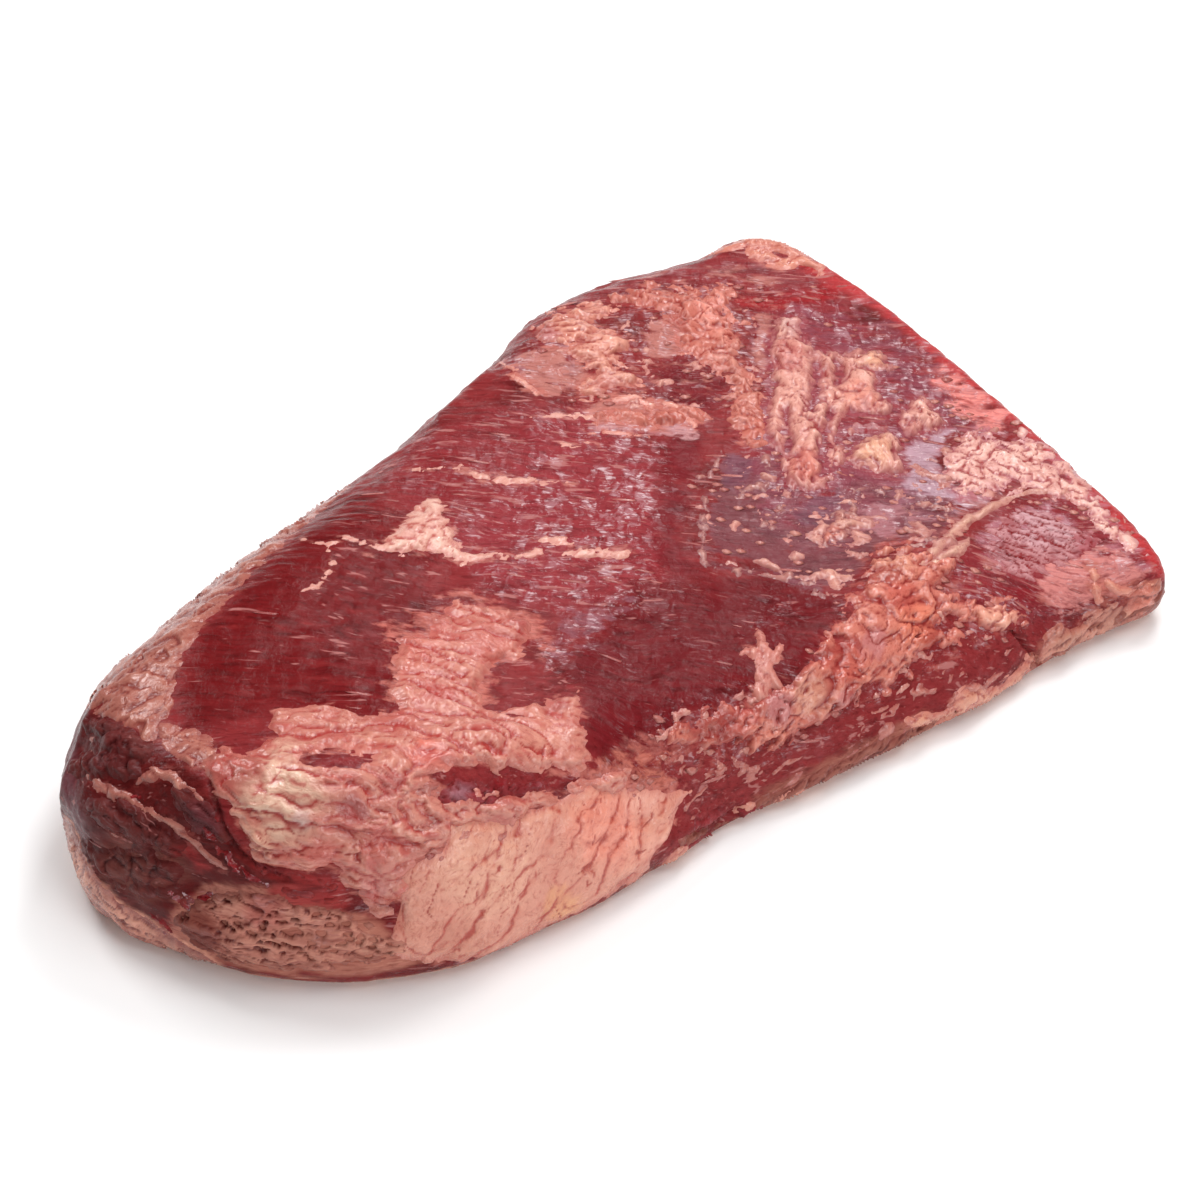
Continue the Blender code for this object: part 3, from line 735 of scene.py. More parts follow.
leanPieces = {
    "end_lobes": {
        "shapes": [[(-184, -40, 6), (-170, -46, 14), (-158, -50, 10)],
          [(-190, -58, 8), (-172, -56, 13), (-160, -58, 8)],
          [(-180, -74, 12), (-160, -80, 16), (-146, -88, 12)],
          [(-186, -92, 10), (-166, -98, 18), (-148, -100, 12)],
          [(-172, -106, 7), (-158, -108, 9), (-146, -106, 6)],
          [(-142, -66, 8), (-131, -77, 14), (-124, -84, 8)]],
        "gaps": [[(-197, -84, 8), (-189, -103, 12), (-178, -117, 12), (-156, -130, 10)]],
        "rise": 1.2, "ragged": 3.0, "lumpSize": 11.0, "stretch": 1.6, "lay": -25.0, "grainy": -0.6,
        "blush": 0.3, "tone": (100, 42, 40), "furrow": (66, 12, 14), "thin": (96, 30, 30),
        "spots": [(-132, -77, 11, (104, 50, 54), 0.9), (-166, -98, 16, (118, 62, 56), 0.8),
          (-170, -54, 14, (94, 34, 34), 0.8), (-138, -92, 9, (150, 22, 24), 0.8),
          (-153, -124, 8, (140, 14, 18), 0.8)],
    },
    "sponge": {
        "shapes": [[(-143, -112), (-118, -106), (-87, -111), (-58, -124), (-46, -134), (-76, -140),
           (-112, -140), (-136, -133), (-148, -124)]],
        "rise": 0.9, "lump": 2.2, "lumpSize": 8.0, "stretch": 3.0, "lay": -8.0, "grainy": -1.0,
        "layers": 3.0, "blush": 0.4, "pits": 3.0, "pitSize": 3.2, "tone": (190, 122, 106),
        "furrow": (106, 44, 38), "thin": (128, 66, 58),
        "spots": [(-138, -126, 18, (124, 58, 50), 0.9), (-108, -112, 12, (172, 92, 84), 0.7)],
    },
    "front_fibres": {
        "shapes": [[(62, -92, 4), (98, -78, 7), (137, -60, 9), (160, -50, 8), (178, -40, 6)],
          [(222, -18, 5), (240, -8, 8), (262, 2, 10), (282, 12, 8)]],
        "rise": 0.7, "ragged": 3.0, "lump": 1.6, "lumpSize": 5.0, "stretch": 4.0, "lay": 26.0,
        "grainy": -1.0, "layers": 3.0, "tone": (150, 88, 76), "furrow": (98, 42, 38), "thin": (136, 66, 58),
    },
    "wet_folds": {
        "shapes": [[(-114, -88, 3), (-107, -97, 3.5), (-92, -101, 3), (-80, -105, 3)],
          [(-100, -106, 3), (-88, -108, 4.5), (-76, -111, 4)]],
        "rise": 0.6, "ragged": 3.0, "lump": 2.4, "lumpSize": 6.0, "stretch": 1.8, "lay": -10.0,
        "grainy": 0.2, "tone": (158, 56, 54), "furrow": (86, 8, 12), "thin": (120, 34, 34),
        "spots": [(-104, -94, 10, (86, 22, 34), 0.8), (-84, -110, 8, (176, 60, 56), 0.6)],
    },
    "red_shreds": {
        "shapes": [[(-135, -64, 3), (-132, -76, 5), (-128, -87, 5), (-120, -96, 4), (-108, -103, 4)],
          [(-150, -106, 3), (-141, -112, 5), (-130, -108, 4)],
          [(-168, -72, 2), (-160, -68, 3), (-152, -70, 2)], [(-158, -118, 3), (-150, -124, 4)]],
        "rise": 0.7, "raggedSize": 3.5, "lump": 2.2, "lumpSize": 4.5, "lay": -50.0, "holes": 0.35,
        "wet": 0.9, "tone": (150, 36, 40), "furrow": (76, 8, 12), "thin": (110, 24, 28),
        "spots": [(-128, -88, 8, (178, 64, 62), 0.7), (-140, -110, 8, (140, 70, 62), 0.7)],
    },
    "lilac_fibres": {
        "shapes": [[(199, 33), (207, 44), (213, 51), (221, 55), (233, 54), (248, 45), (256, 37), (246, 30),
           (236, 25), (227, 21), (217, 20), (208, 25)]],
        "rise": 0.3, "sink": 0.7, "ragged": 6.0, "edge": 5.0, "lump": 1.3, "lumpSize": 3.8, "stretch": 9.0,
        "lay": -38.0, "grainy": -1.0, "layers": 0.5, "crease": 0.8, "creaseSize": 4.0, "blush": 0.6,
        "wet": 0.6, "sway": 0.35, "tone": (180, 118, 120), "furrow": (132, 30, 38), "thin": (146, 60, 64),
        "spots": [(228, 46, 18, (194, 142, 146), 0.8), (250, 36, 10, (150, 62, 70), 0.7)],
    },
    "crimson_folds": {
        "shapes": [[(-36, -65), (-30, -61), (-14, -60), (0, -63), (10, -62), (16, -65), (2, -68), (-6, -70),
           (-14, -73), (-22, -78), (-37, -74), (-42, -72)], [(66, -86, 5), (84, -80, 7), (96, -78, 5)],
          [(60, -100, 3), (72, -92, 5), (84, -86, 4)]],
        "rise": 0.5, "lump": 2.0, "lumpSize": 7.0, "stretch": 2.0, "tone": (136, 46, 50),
        "furrow": (92, 10, 14), "thin": (130, 40, 42),
        "spots": [(-30, -66, 7, (150, 96, 104), 0.8), (4, -64, 6, (146, 84, 90), 0.7),
          (-14, -64, 5, (120, 14, 20), 0.8)],
    },
}


def turned(places, degrees):
    # the places with their first number along folds that lie round by that much
    angle = math.radians(degrees)
    flat = places.copy()
    flat[:, 0] = places[:, 0] * math.cos(angle) + places[:, 1] * math.sin(angle)
    flat[:, 1] = places[:, 1] * math.cos(angle) - places[:, 0] * math.sin(angle)
    return flat


def insideFat(spots, habit):
    reach = insideShapes(spots, habit["shapes"])
    if habit["gaps"]:
        reach = np.minimum(reach, -insideShapes(spots, habit["gaps"]))
    return reach


# Lean, film and fat painted on the body: colours, sizes in millimetres, shares from 0 to 1.
lean = {
    "flesh": (128, 40, 42),
    "deep": (96, 22, 24),           # in blotches
    "bright": (168, 60, 58),        # in streaks
    "streak": 0.25,
    "seen": (-0.12, 0.12),          # how far a face has to turn to the sheet to be painted
    "raggedSize": (14, 5, 5),
    "streakSize": (30, 3.2, 3.2),
    "blotchSize": 22,
    "film": (200, 130, 124),
    "filmBeside": 0.5,              # round the edges of the fat
    "wet": 0.4,
    "marbling": 0.3,
    "hiddenMarbling": 0.4,
    "hiddenFat": ((178, 92, 82), (214, 148, 128)),
    "mottleSize": (8, 3, 3),
    "capFat": (222, 158, 134),      # the fat cap underneath
    "capShade": 0.95,
    "capRim": 9.0,                  # how far it shows up the hidden sides
    "capUneven": (3, 14),
    "cutRed": (150, 48, 44),        # the cut end
    "cutShare": 0.7,
    "slivers": 0.6,                 # how many slivers of marbling lie on it
    "sliverSize": 12,
    "lobuleSize": 9,
}

# Zones painted over the lean in turn: colour, strength, softness, raggedness, shapes.
leanZones = {
    "left lean": ((104, 17, 20), 1.0, 6, 4,
        [[(-85, 58), (-119, 24), (-143, -12), (-140, -40), (-107, -34), (-61, -37), (-50, 5), (-60, 40)]]),
    "left streaks": ((108, 22, 25), 0.8, 7, 6,
        [[(-92, 40), (-98, 4), (-90, -28), (-62, -33), (-53, 4), (-60, 38)]]),
    "centre": ((138, 44, 50), 1.0, 8, 6,
        [[(-63, 72), (-28, 92), (9, 100), (46, 87), (57, 58), (54, 22), (28, 10), (-7, 10), (-34, 30)]]),
    "centre left": ((128, 38, 42), 0.9, 8, 6,
        [[(-63, 72), (-30, 92), (-4, 99), (-14, 62), (-40, 44)]]),
    "dark lean": ((112, 26, 32), 1.0, 5, 4,
        [[(58, 92), (80, 98), (84, 120), (60, 125), (52, 100)],
         [(60, 88), (74, 88), (70, 60), (64, 34), (80, 26), (64, 20), (52, 36)]]),
    "dark muscle": ((104, 22, 27), 1.0, 5, 4,
        [[(11, -21), (28, -2), (45, 13), (72, 20), (99, 24), (129, 13), (131, 4), (114, -20), (97, -30),
          (70, -36), (49, -48), (23, -54), (21, -29)]]),
    "upper lean": ((132, 44, 48), 0.9, 6, 5,
        [[(1, 151), (50, 172), (107, 184), (150, 172), (140, 150), (100, 165), (40, 166), (0, 146)]]),
    "under the ropes": ((134, 46, 52), 1.0, 6, 6,
        [[(103, 150), (132, 160), (172, 134), (196, 100), (172, 74), (136, 52), (108, 50), (92, 92),
          (104, 108)]]),
    "right lean": ((130, 42, 48), 1.0, 6, 4,
        [[(187, 24), (213, 50), (250, 60), (275, 36), (284, 22), (250, 10), (216, 0), (189, 12)]]),
    "front lean": ((130, 42, 44), 1.0, 5, 4,
        [[(49, -65), (66, -49), (97, -54), (128, -40), (160, -27), (188, -7), (216, -2), (221, -10),
          (197, -27), (174, -37), (150, -44), (115, -65), (97, -74), (70, -77)]]),
    "red strip": ((150, 32, 36), 0.9, 2, 3,
        [[(97, 160), (116, 160), (142, 166), (144, 160), (121, 154), (99, 154)]]),
    "dark band": ((126, 30, 36), 0.9, 3, 3,
        [[(188, 17), (198, 19), (212, 17), (226, 20), (235, 23), (231, 15), (216, 11), (198, 11)]]),
    "red rim": ((176, 54, 56), 1.0, 3, 2,
        [[(126, 182, 9), (169, 154, 9), (202, 120, 8), (232, 91, 8), (252, 66, 8), (270, 44, 9),
          (284, 24, 9)]]),
    "rim pink": ((214, 112, 106), 0.9, 6, 6,
        [[(190, 116, 7), (202, 109, 9), (213, 99, 7)]]),
    "end lean": ((92, 24, 24), 1.0, 3, 3,
        [[(-190, -34), (-166, -40), (-150, -51), (-132, -60), (-121, -84), (-93, -100), (-82, -113),
          (-118, -107), (-143, -112), (-157, -129), (-181, -104), (-197, -80)]]),
    "end brown": ((122, 66, 58), 0.7, 5, 4,
        [[(-176, -88), (-150, -84), (-140, -100), (-160, -112), (-182, -100)]]),
    "end band": ((112, 62, 68), 0.9, 3, 2,
        [[(-194, -45, 8), (-192, -66, 9), (-187, -84, 8)]]),
    "sponge": ((180, 112, 96), 1.0, 3, 4,
        [[(-143, -112), (-118, -105), (-87, -110), (-55, -126), (-38, -136), (-76, -143), (-121, -141),
          (-149, -129)]]),
    # painted shade: dark red laid along the carved groove between the end lean and the seam fat
    "crevice": ((66, 12, 14), 0.9, 1.5, 1.5,
        [[(-129, -62, 1), (-126, -71, 2), (-122, -83, 2), (-114, -93, 2), (-98, -101, 1.6),
          (-86, -105, 1)]]),
    "wet red": ((156, 50, 50), 0.9, 3, 3,
        [[(-114, -88, 3), (-107, -97, 3), (-92, -100, 3), (-77, -105, 4)],
         [(-102, -108, 8), (-78, -111, 9)], [(-139, -90, 3), (-134, -96, 4)],
         [(-155, -124, 3), (-152, -128, 4)]]),
    "front wall": ((150, 86, 74), 1.0, 3, 3,
        [[(98, -76, 8), (137, -58, 9), (171, -43, 8)], [(228, -14, 8), (257, -2, 9), (284, 10, 9)]]),
    "cap rim": ((226, 156, 134), 1.0, 1.5, 1.5,
        [[(-196, -84, 9), (-188, -103, 12), (-177, -116, 13), (-156, -129, 11), (-131, -142, 7)],
         [(98, -80, 3), (117, -72, 3), (137, -63, 3), (154, -56, 4), (180, -43, 4)]]),
}

# Thin pale or lilac film over the lean, and in some zones painted sheen laid as paler film colour: colour,
# cover, softness, raggedness, gloss, shapes.
filmZones = {
    "big plate": ((116, 62, 68), 0.85, 4, 4, 0.45,
        [[(84, 80), (104, 77), (110, 68), (113, 62), (134, 63), (143, 69), (157, 67), (170, 69), (177, 52),
          (193, 55), (195, 50), (185, 42), (179, 36), (163, 36), (149, 31), (139, 17), (117, 17), (99, 28),
          (80, 31), (76, 44), (82, 68)]]),
    "right plate": ((182, 120, 130), 0.7, 5, 6, 1.0,
        [[(182, 58), (205, 52), (214, 62), (208, 70), (192, 66)],
         [(197, 36), (213, 50), (236, 54), (248, 40), (240, 30), (216, 22)]]),
    "upper plate": ((156, 104, 114), 0.85, 5, 6, 0.9,
        [[(-17, 125), (-2, 132), (9, 132), (24, 118), (18, 111), (3, 107), (-14, 115)],
         [(48, 128), (56, 150), (84, 156), (80, 140), (66, 126)]]),
    "top plate": ((130, 64, 68), 0.5, 6, 6, 0.5,
        [[(77, 177), (92, 181), (117, 180), (127, 174), (126, 165), (107, 163), (98, 165), (80, 167)],
         [(28, 168), (60, 176), (76, 178), (78, 168), (57, 168)]]),
    # partly silverskin, partly painted sheen: paler colour standing in for reflected light
    "plate film and painted sheen": ((172, 114, 120), 0.9, 6, 8, 0.9,
        [[(128, 80), (150, 84), (176, 72), (184, 60), (170, 46), (150, 44), (132, 56)]]),
    "purple gap": ((120, 58, 66), 0.9, 2, 2, 0.5,
        [[(104, 148), (112, 149), (108, 136), (108, 122), (104, 122), (101, 134), (103, 139)]]),
    "purple right": ((150, 96, 108), 0.8, 4, 4, 0.9,
        [[(170, 86), (181, 92), (190, 88), (187, 69), (194, 57), (177, 52), (164, 59), (160, 68),
          (170, 71)]]),
    "pink net": ((190, 128, 136), 0.5, 5, 5, 0.9,
        [[(164, 137), (176, 140), (196, 119), (207, 106), (189, 102), (178, 111), (167, 121)]]),
    # partly pale film, partly painted sheen: paler colour standing in for reflected light
    "pale film and painted sheen": ((204, 150, 150), 0.95, 4, 5, 1.0,
        [[(23, 103), (38, 108), (56, 105), (72, 99), (72, 88), (56, 87), (42, 88), (28, 90)],
         [(173, 106), (191, 108), (197, 94), (184, 86), (172, 92)]]),
    "red net": ((214, 136, 130), 0.75, 4, 6, 0.8,
        [[(226, 28), (240, 34), (262, 36), (278, 24), (268, 12), (248, 7), (230, 7)]]),
    "brown plate": ((142, 82, 78), 0.6, 5, 5, 0.7,
        [[(24, -56), (40, -46), (56, -44), (74, -38), (84, -44), (70, -54), (60, -62), (40, -60)]]),
    # partly lilac film, partly painted sheen over the dark lean
    "dark film and painted sheen": ((150, 92, 102), 0.45, 6, 6, 1.0,
        [[(165, 152), (196, 112), (215, 100), (205, 92), (178, 108), (168, 128), (150, 150)]]),
    "lilac band": ((140, 84, 94), 0.6, 5, 5, 0.8,
        [[(-2, -12), (4, -2), (17, 8), (36, 13), (43, 13), (36, 2), (19, -9), (4, -17)]]),
    # painted sheen: paler lilac colour over the wet centre
    "centre painted sheen": ((172, 106, 114), 0.25, 10, 8, 1.0,
        [[(24, 60), (40, 82), (54, 84), (58, 62), (50, 46), (30, 48)]]),
    "pink veil": ((200, 112, 100), 0.7, 8, 8, 0.5,
        [[(-60, -14), (-66, -2), (-45, 6), (-30, 14), (2, 3), (0, -10), (-16, -18), (-20, -34),
          (-60, -30)]]),
    "cross film": ((188, 120, 114), 0.4, 4, 6, 0.6,
        [[(-60, 72, 5), (-22, 68, 6), (15, 64, 4)], [(-6, 96, 4), (30, 97, 5)], [(8, 83, 3), (26, 84, 3)],
         [(-32, 34, 6), (0, 32, 7), (44, 32, 6)]]),
    "rope net": ((132, 66, 78), 0.6, 8, 8, 1.0,
        [[(100, 150), (130, 158), (172, 134), (194, 100), (172, 76), (136, 54), (108, 52), (96, 92),
          (104, 108)], [(168, 150), (200, 116), (224, 92), (196, 90), (170, 112)]]),
    "upper net": ((188, 120, 110), 0.3, 8, 8, 0.8,
        [looseFat["upper"]]),
    "band net": ((178, 100, 92), 0.4, 8, 8, 0.7,
        [[(50, -44), (78, -32), (118, -16), (140, 14), (170, 38), (200, 24), (222, 6), (205, -8),
          (180, -18), (144, -34), (100, -58), (50, -62)]]),
    "front net": ((200, 116, 100), 0.75, 6, 6, 0.5,
        [looseFat["front"]]),
    "plate purple": ((116, 70, 84), 0.95, 3, 3, 0.5,
        [[(117, 52), (123, 59), (133, 61), (137, 59), (135, 53), (128, 46), (119, 46)],
         [(83, 77), (95, 78), (96, 69), (90, 63), (84, 66)]]),
    # partly silverskin, partly painted sheen: near-white lilac standing in for reflected light
    "white film and painted sheen": ((190, 156, 168), 0.85, 4, 6, 1.0,
        [[(170, 77), (181, 88), (191, 90), (188, 73), (195, 61), (196, 53), (184, 57), (173, 64)]]),
    "rim blush": ((234, 144, 136), 0.8, 6, 8, 0.8,
        [[(194, 116), (203, 118), (214, 107), (221, 98), (211, 93), (200, 104)]]),
}

# How far the woven, wet look goes on each zone of lean (lower roughness, with painted sheen and painted
# glints), and its marbling.
wetZones = {
    "left lean": (0.2, 0.12),
    "left streaks": (0.2, 0.4),
    "centre": (0.92, 0.5),
    "centre left": (0.5, 0.6),
    "dark muscle": (0.38, 0.1),
    "under the ropes": (0.5, 0.2),
    "dark lean": (0.3, 0.0),
    "upper lean": (0.6, 0.5),
    "right lean": (0.5, 0.5),
    "front lean": (0.25, 0.4),
    "end lean": (0.25, 0.1),
    "sponge": (0.0, 0.0),
    "front wall": (0.1, 0.3),
    "cap rim": (0.0, 0.0),
}


def paintBody(piece):
    # stores the colours, the film, the wet and the grain of the meat, and returns its colour all in all
    mesh = piece.data
    points = meshPoints(mesh)
    normals = meshNormals(mesh)
    places = onSheet(points)
    grain = alongFibres(places)
    spots = places[:, :2]
    seen = smoothStep(*lean["seen"], -normals @ sheetDrop)
    ragged = roughNoise(grain, lean["raggedSize"], 31)
    streaks = roughNoise(grain, lean["streakSize"], 33)
    blotches = roughNoise(places, lean["blotchSize"], 35)
    tint = np.tile(paintColour(*lean["flesh"]), (len(points), 1))
    tint = mixed(tint, paintColour(*lean["deep"]), smoothStep(-0.2, 1.0, blotches))
    shown = {}
    for name, (colour, strength, soft, rag, shapes) in leanZones.items():
        share = smoothStep(-soft, soft, insideShapes(spots, shapes) + rag * ragged)
        shown[name] = share * seen * strength
        tint = mixed(tint, paintColour(*colour), shown[name])
    tint = mixed(tint, paintColour(*lean["bright"]), lean["streak"] * smoothStep(0.1, 1.1, streaks))
    tint *= (1 - lean["streak"] * smoothStep(0.1, 1.1, -streaks))[:, None]
    film = np.zeros(len(points))
    filmTint = np.tile(paintColour(*lean["film"]), (len(points), 1))
    wet = np.full(len(points), lean["wet"])
    marbling = np.full(len(points), lean["marbling"])
    for name, (gloss, flecks) in wetZones.items():
        wet += (gloss - wet) * np.minimum(shown[name], 1)
        marbling += (flecks - marbling) * np.minimum(shown[name], 1)
    wet += 0.2 * blotches
    for name, (colour, cover, soft, rag, gloss, shapes) in filmZones.items():
        share = seen * smoothStep(-soft, soft, insideShapes(spots, shapes) + rag * ragged)
        filmTint = mixed(filmTint, paintColour(*colour), smoothStep(0.0, 0.3, share))
        film = np.maximum(film, cover * share)
        wet += (gloss - wet) * share
    # thin film feathers out from every whole piece of fat, and slivers lie between them
    bare = np.ones(len(points))
    for own in fatPieces.values():
        habit = {**fatHabit, **own}
        if habit["tufts"] > -1:
            continue
        reach = insideFat(spots, habit)
        bare = np.minimum(bare, 1 - smoothStep(-2, 2, reach))
        beside = seen * smoothStep(-4, 3, reach + 4 * ragged)
        filmTint = mixed(filmTint, paintColour(*habit["thin"]), smoothStep(0.0, 0.5, beside))
        film = np.maximum(film, lean["filmBeside"] * beside)
    # the hidden sides: a fat cap below, red lean above it
    hidden = 1 - seen
    fat = sideFat(places, points[:, 2], hidden)
    mottled = smoothStep(-0.5, 0.6, roughNoise(places, lean["mottleSize"], 57))
    darkFat, paleFat = (paintColour(*colour) for colour in lean["hiddenFat"])
    tint = mixed(tint, mixed(darkFat, paleFat, mottled), 0.9 * fat)
    cut = hidden * smoothStep(0.3, 0.8, normals[:, 0])
    tint = mixed(tint, paintColour(*lean["cutRed"]), lean["cutShare"] * cut * (1 - fat))
    uneven, unevenSize = lean["capUneven"]
    rim = lean["capRim"] + uneven * roughNoise(places, unevenSize, 37) - points[:, 2] / mm
    capShare = np.maximum(hidden * smoothStep(-2.0, 2.0, rim), smoothStep(0.35, 0.6, -normals[:, 2]))
    tint = mixed(tint, paintColour(*lean["capFat"]) * lean["capShade"], capShare)
    storeColour(mesh, "tint", tint)
    storeColour(mesh, "filmTint", filmTint)
    storeNumber(mesh, "film", film)
    storeNumber(mesh, "wet", np.clip(wet, 0, 1))
    flecked = marbling + 0.3 * blotches + lean["hiddenMarbling"] * hidden
    storeNumber(mesh, "marbling", np.clip(flecked, 0, 1))
    storeVector(mesh, "grain", grain)
    storeVector(mesh, "fibre", sheetAcross + fibreSlope(places)[:, None] * sheetUp)
    # where lobules and slivers are strewn
    scattered = [shape for name, shape in looseFat.items() if name != "wall"]
    loose = smoothStep(-7, 7, insideShapes(spots, scattered))
    patches = smoothStep(0.0, 0.7, roughNoise(places, lean["lobuleSize"], 41))
    storeNumber(mesh, "lobules", seen * loose * patches)
    bare *= smoothStep(0.15, 0.4, -normals @ sheetDrop) * (1 - np.minimum(shown["red rim"], 1))
    patches = smoothStep(-0.1, 0.6, roughNoise(places, lean["sliverSize"], 43))
    storeNumber(mesh, "slivers", lean["slivers"] * bare * marbling * patches)
    return mixed(tint, filmTint, 0.6 * film)


skinTint = paintBody(meat)
print("brisket: lean and film painted")


# Nodes. Inputs are given by name or number, as values or as other nodes' outputs.
def feed(tree, node, inputs):
    for name, value in inputs.items():
        socket = node.inputs[name]
        if isinstance(value, bpy.types.NodeSocket):
            tree.links.new(value, socket)
        else:
            socket.default_value = (*value, 1.0) if socket.type == "RGBA" else value


def addNode(tree, kind, inputs, **settings):
    node = tree.nodes.new(kind)
    for name, value in settings.items():
        setattr(node, name, value)
    feed(tree, node, inputs)
    return node.outputs


def attribute(tree, name, output="Fac"):
    return addNode(tree, "ShaderNodeAttribute", {}, attribute_name=name)[output]


def calculate(tree, kind, *values):
    return addNode(tree, "ShaderNodeMath", dict(enumerate(values)), operation=kind)[0]


def times(tree, first, *others):
    for value in others:
        first = calculate(tree, "MULTIPLY", first, value)
    return first


def blendColour(tree, share, first, second, kind="MIX"):
    inputs = {"Factor": share, "A": first, "B": second}
    return addNode(tree, "ShaderNodeMix", inputs, data_type="RGBA", blend_type=kind)["Result"]


def noiseNode(tree, vector, stretch, detail, rough, distortion):
    vector = addNode(tree, "ShaderNodeMapping", {"Vector": vector, "Scale": stretch})["Vector"]
    inputs = {"Vector": vector, "Scale": 1.0, "Detail": detail, "Roughness": rough, "Distortion": distortion}
    return addNode(tree, "ShaderNodeTexNoise", inputs)["Fac"]


def bentVector(tree, vector, size, much):
    # the same places pushed about, so that nothing that runs along them is dead straight
    inputs = {"Vector": vector, "Scale": 1 / size, "Detail": 2.0}
    push = addNode(tree, "ShaderNodeTexNoise", inputs)["Color"]
    inputs = {0: push, 1: (much, much, much), 2: vector}
    return addNode(tree, "ShaderNodeVectorMath", inputs, operation="MULTIPLY_ADD")["Vector"]


def rangeNode(tree, value, low, high, toLow=0.0, toHigh=1.0):
    inputs = {"Value": value, "From Min": low, "From Max": high, "To Min": toLow, "To Max": toHigh}
    return addNode(tree, "ShaderNodeMapRange", inputs, interpolation_type="SMOOTHSTEP")["Result"]


def bumpNode(tree, height, distance, before=None):
    inputs = {"Height": height, "Distance": distance, "Strength": 1.0}
    if before is not None:
        inputs["Normal"] = before
    return addNode(tree, "ShaderNodeBump", inputs)["Normal"]


# The lean. Noise runs over places in millimetres, one lump to 1 / scale of them.
leanNoise = {
    # name: scale along the fibres and across them twice, detail, roughness, distortion
    "fibres": ((0.10, 0.62, 0.62), 4.0, 0.6, 0.5),
    "strands": ((0.03, 0.16, 0.16), 3.0, 0.6, 0.3),
    "columns": ((0.22, 0.13, 0.13), 4.0, 0.62, 0.6),
    "fine": ((0.19, 0.72, 0.72), 3.0, 0.55, 0.6),
}
evenNoise = {
    # the same, for those that aren't bent
    "patches": ((0.035, 0.05, 0.05), 3.0, 0.5, 0.4),
    "streaks": ((0.05, 0.34, 0.34), 2.0, 0.5, 0.4),
    "net": ((0.10, 0.20, 0.20), 5.0, 0.62, 0.5),
}
leanRanges = {
    # a value's low and high end, and the share that each end gives
    "paleFibres": (0.50, 0.70, 0.0, 0.55),
    "darkFibres": (0.30, 0.47, 0.6, 0.0),
    "darkStrands": (0.32, 0.46, 0.55, 0.0),
    "marbling": (0.68, 0.80, 0.0, 0.85),
    "torn": (0.30, 0.80),
    "filmEdge": (0.02, 0.3),
    "filmFibres": (0.36, 0.50, 0.7, 0.0),
    "filmStrands": (0.30, 0.48, 0.5, 0.0),
    "wetPatches": (0.53, 0.68),
    # the waves of the painted sheen, and the painted glints
    "paintedSheenWaves": (0.46, 0.66),
    "paintedGlints": (0.52, 0.68),
    "paintedGlintWaves": (0.42, 0.58),
    "paintedGlintWet": (0.2, 0.8),
    "rise": (0.0, 1.0, 0.3, 1.0),
}
leanFinish = {
    "bendSize": 22.0,                 # millimetres
    "bend": 6.0,
    "fibreBump": 0.7 * mm,
    "columnBump": 1.1 * mm,
    "dryRough": 0.28,
    "wetRough": 0.15,
    "specular": 0.08,
    "darker": (0.46, 0.24, 0.28),     # times the tint, between the fibres
    # paler: partly the fibres' own paler tone, partly painted highlight on their tops
    "paler": (1.35, 1.7, 1.7),        # and on them
    "filmDarker": (0.55, 0.38, 0.42),
    "wetPull": 0.16,                  # how far wet places draw the sheen
    # painted sheen and painted glints: pale colour laid on wet lean in place of reflected light
    "sheen": 0.45,
    "paintedSheenTint": (0.50, 0.29, 0.32),
    "paintedGlints": 0.75,
    "paintedGlintShares": (0.7, 0.3),        # in the waves of the sheen, and elsewhere
    "paintedGlintTint": (0.78, 0.60, 0.63),
    "marblingTint": (0.42, 0.15, 0.14),
    "marblingMost": 0.22,
    "filmCover": 0.8,
    "filmNet": 1.8,                   # how far the net tears thin film
}


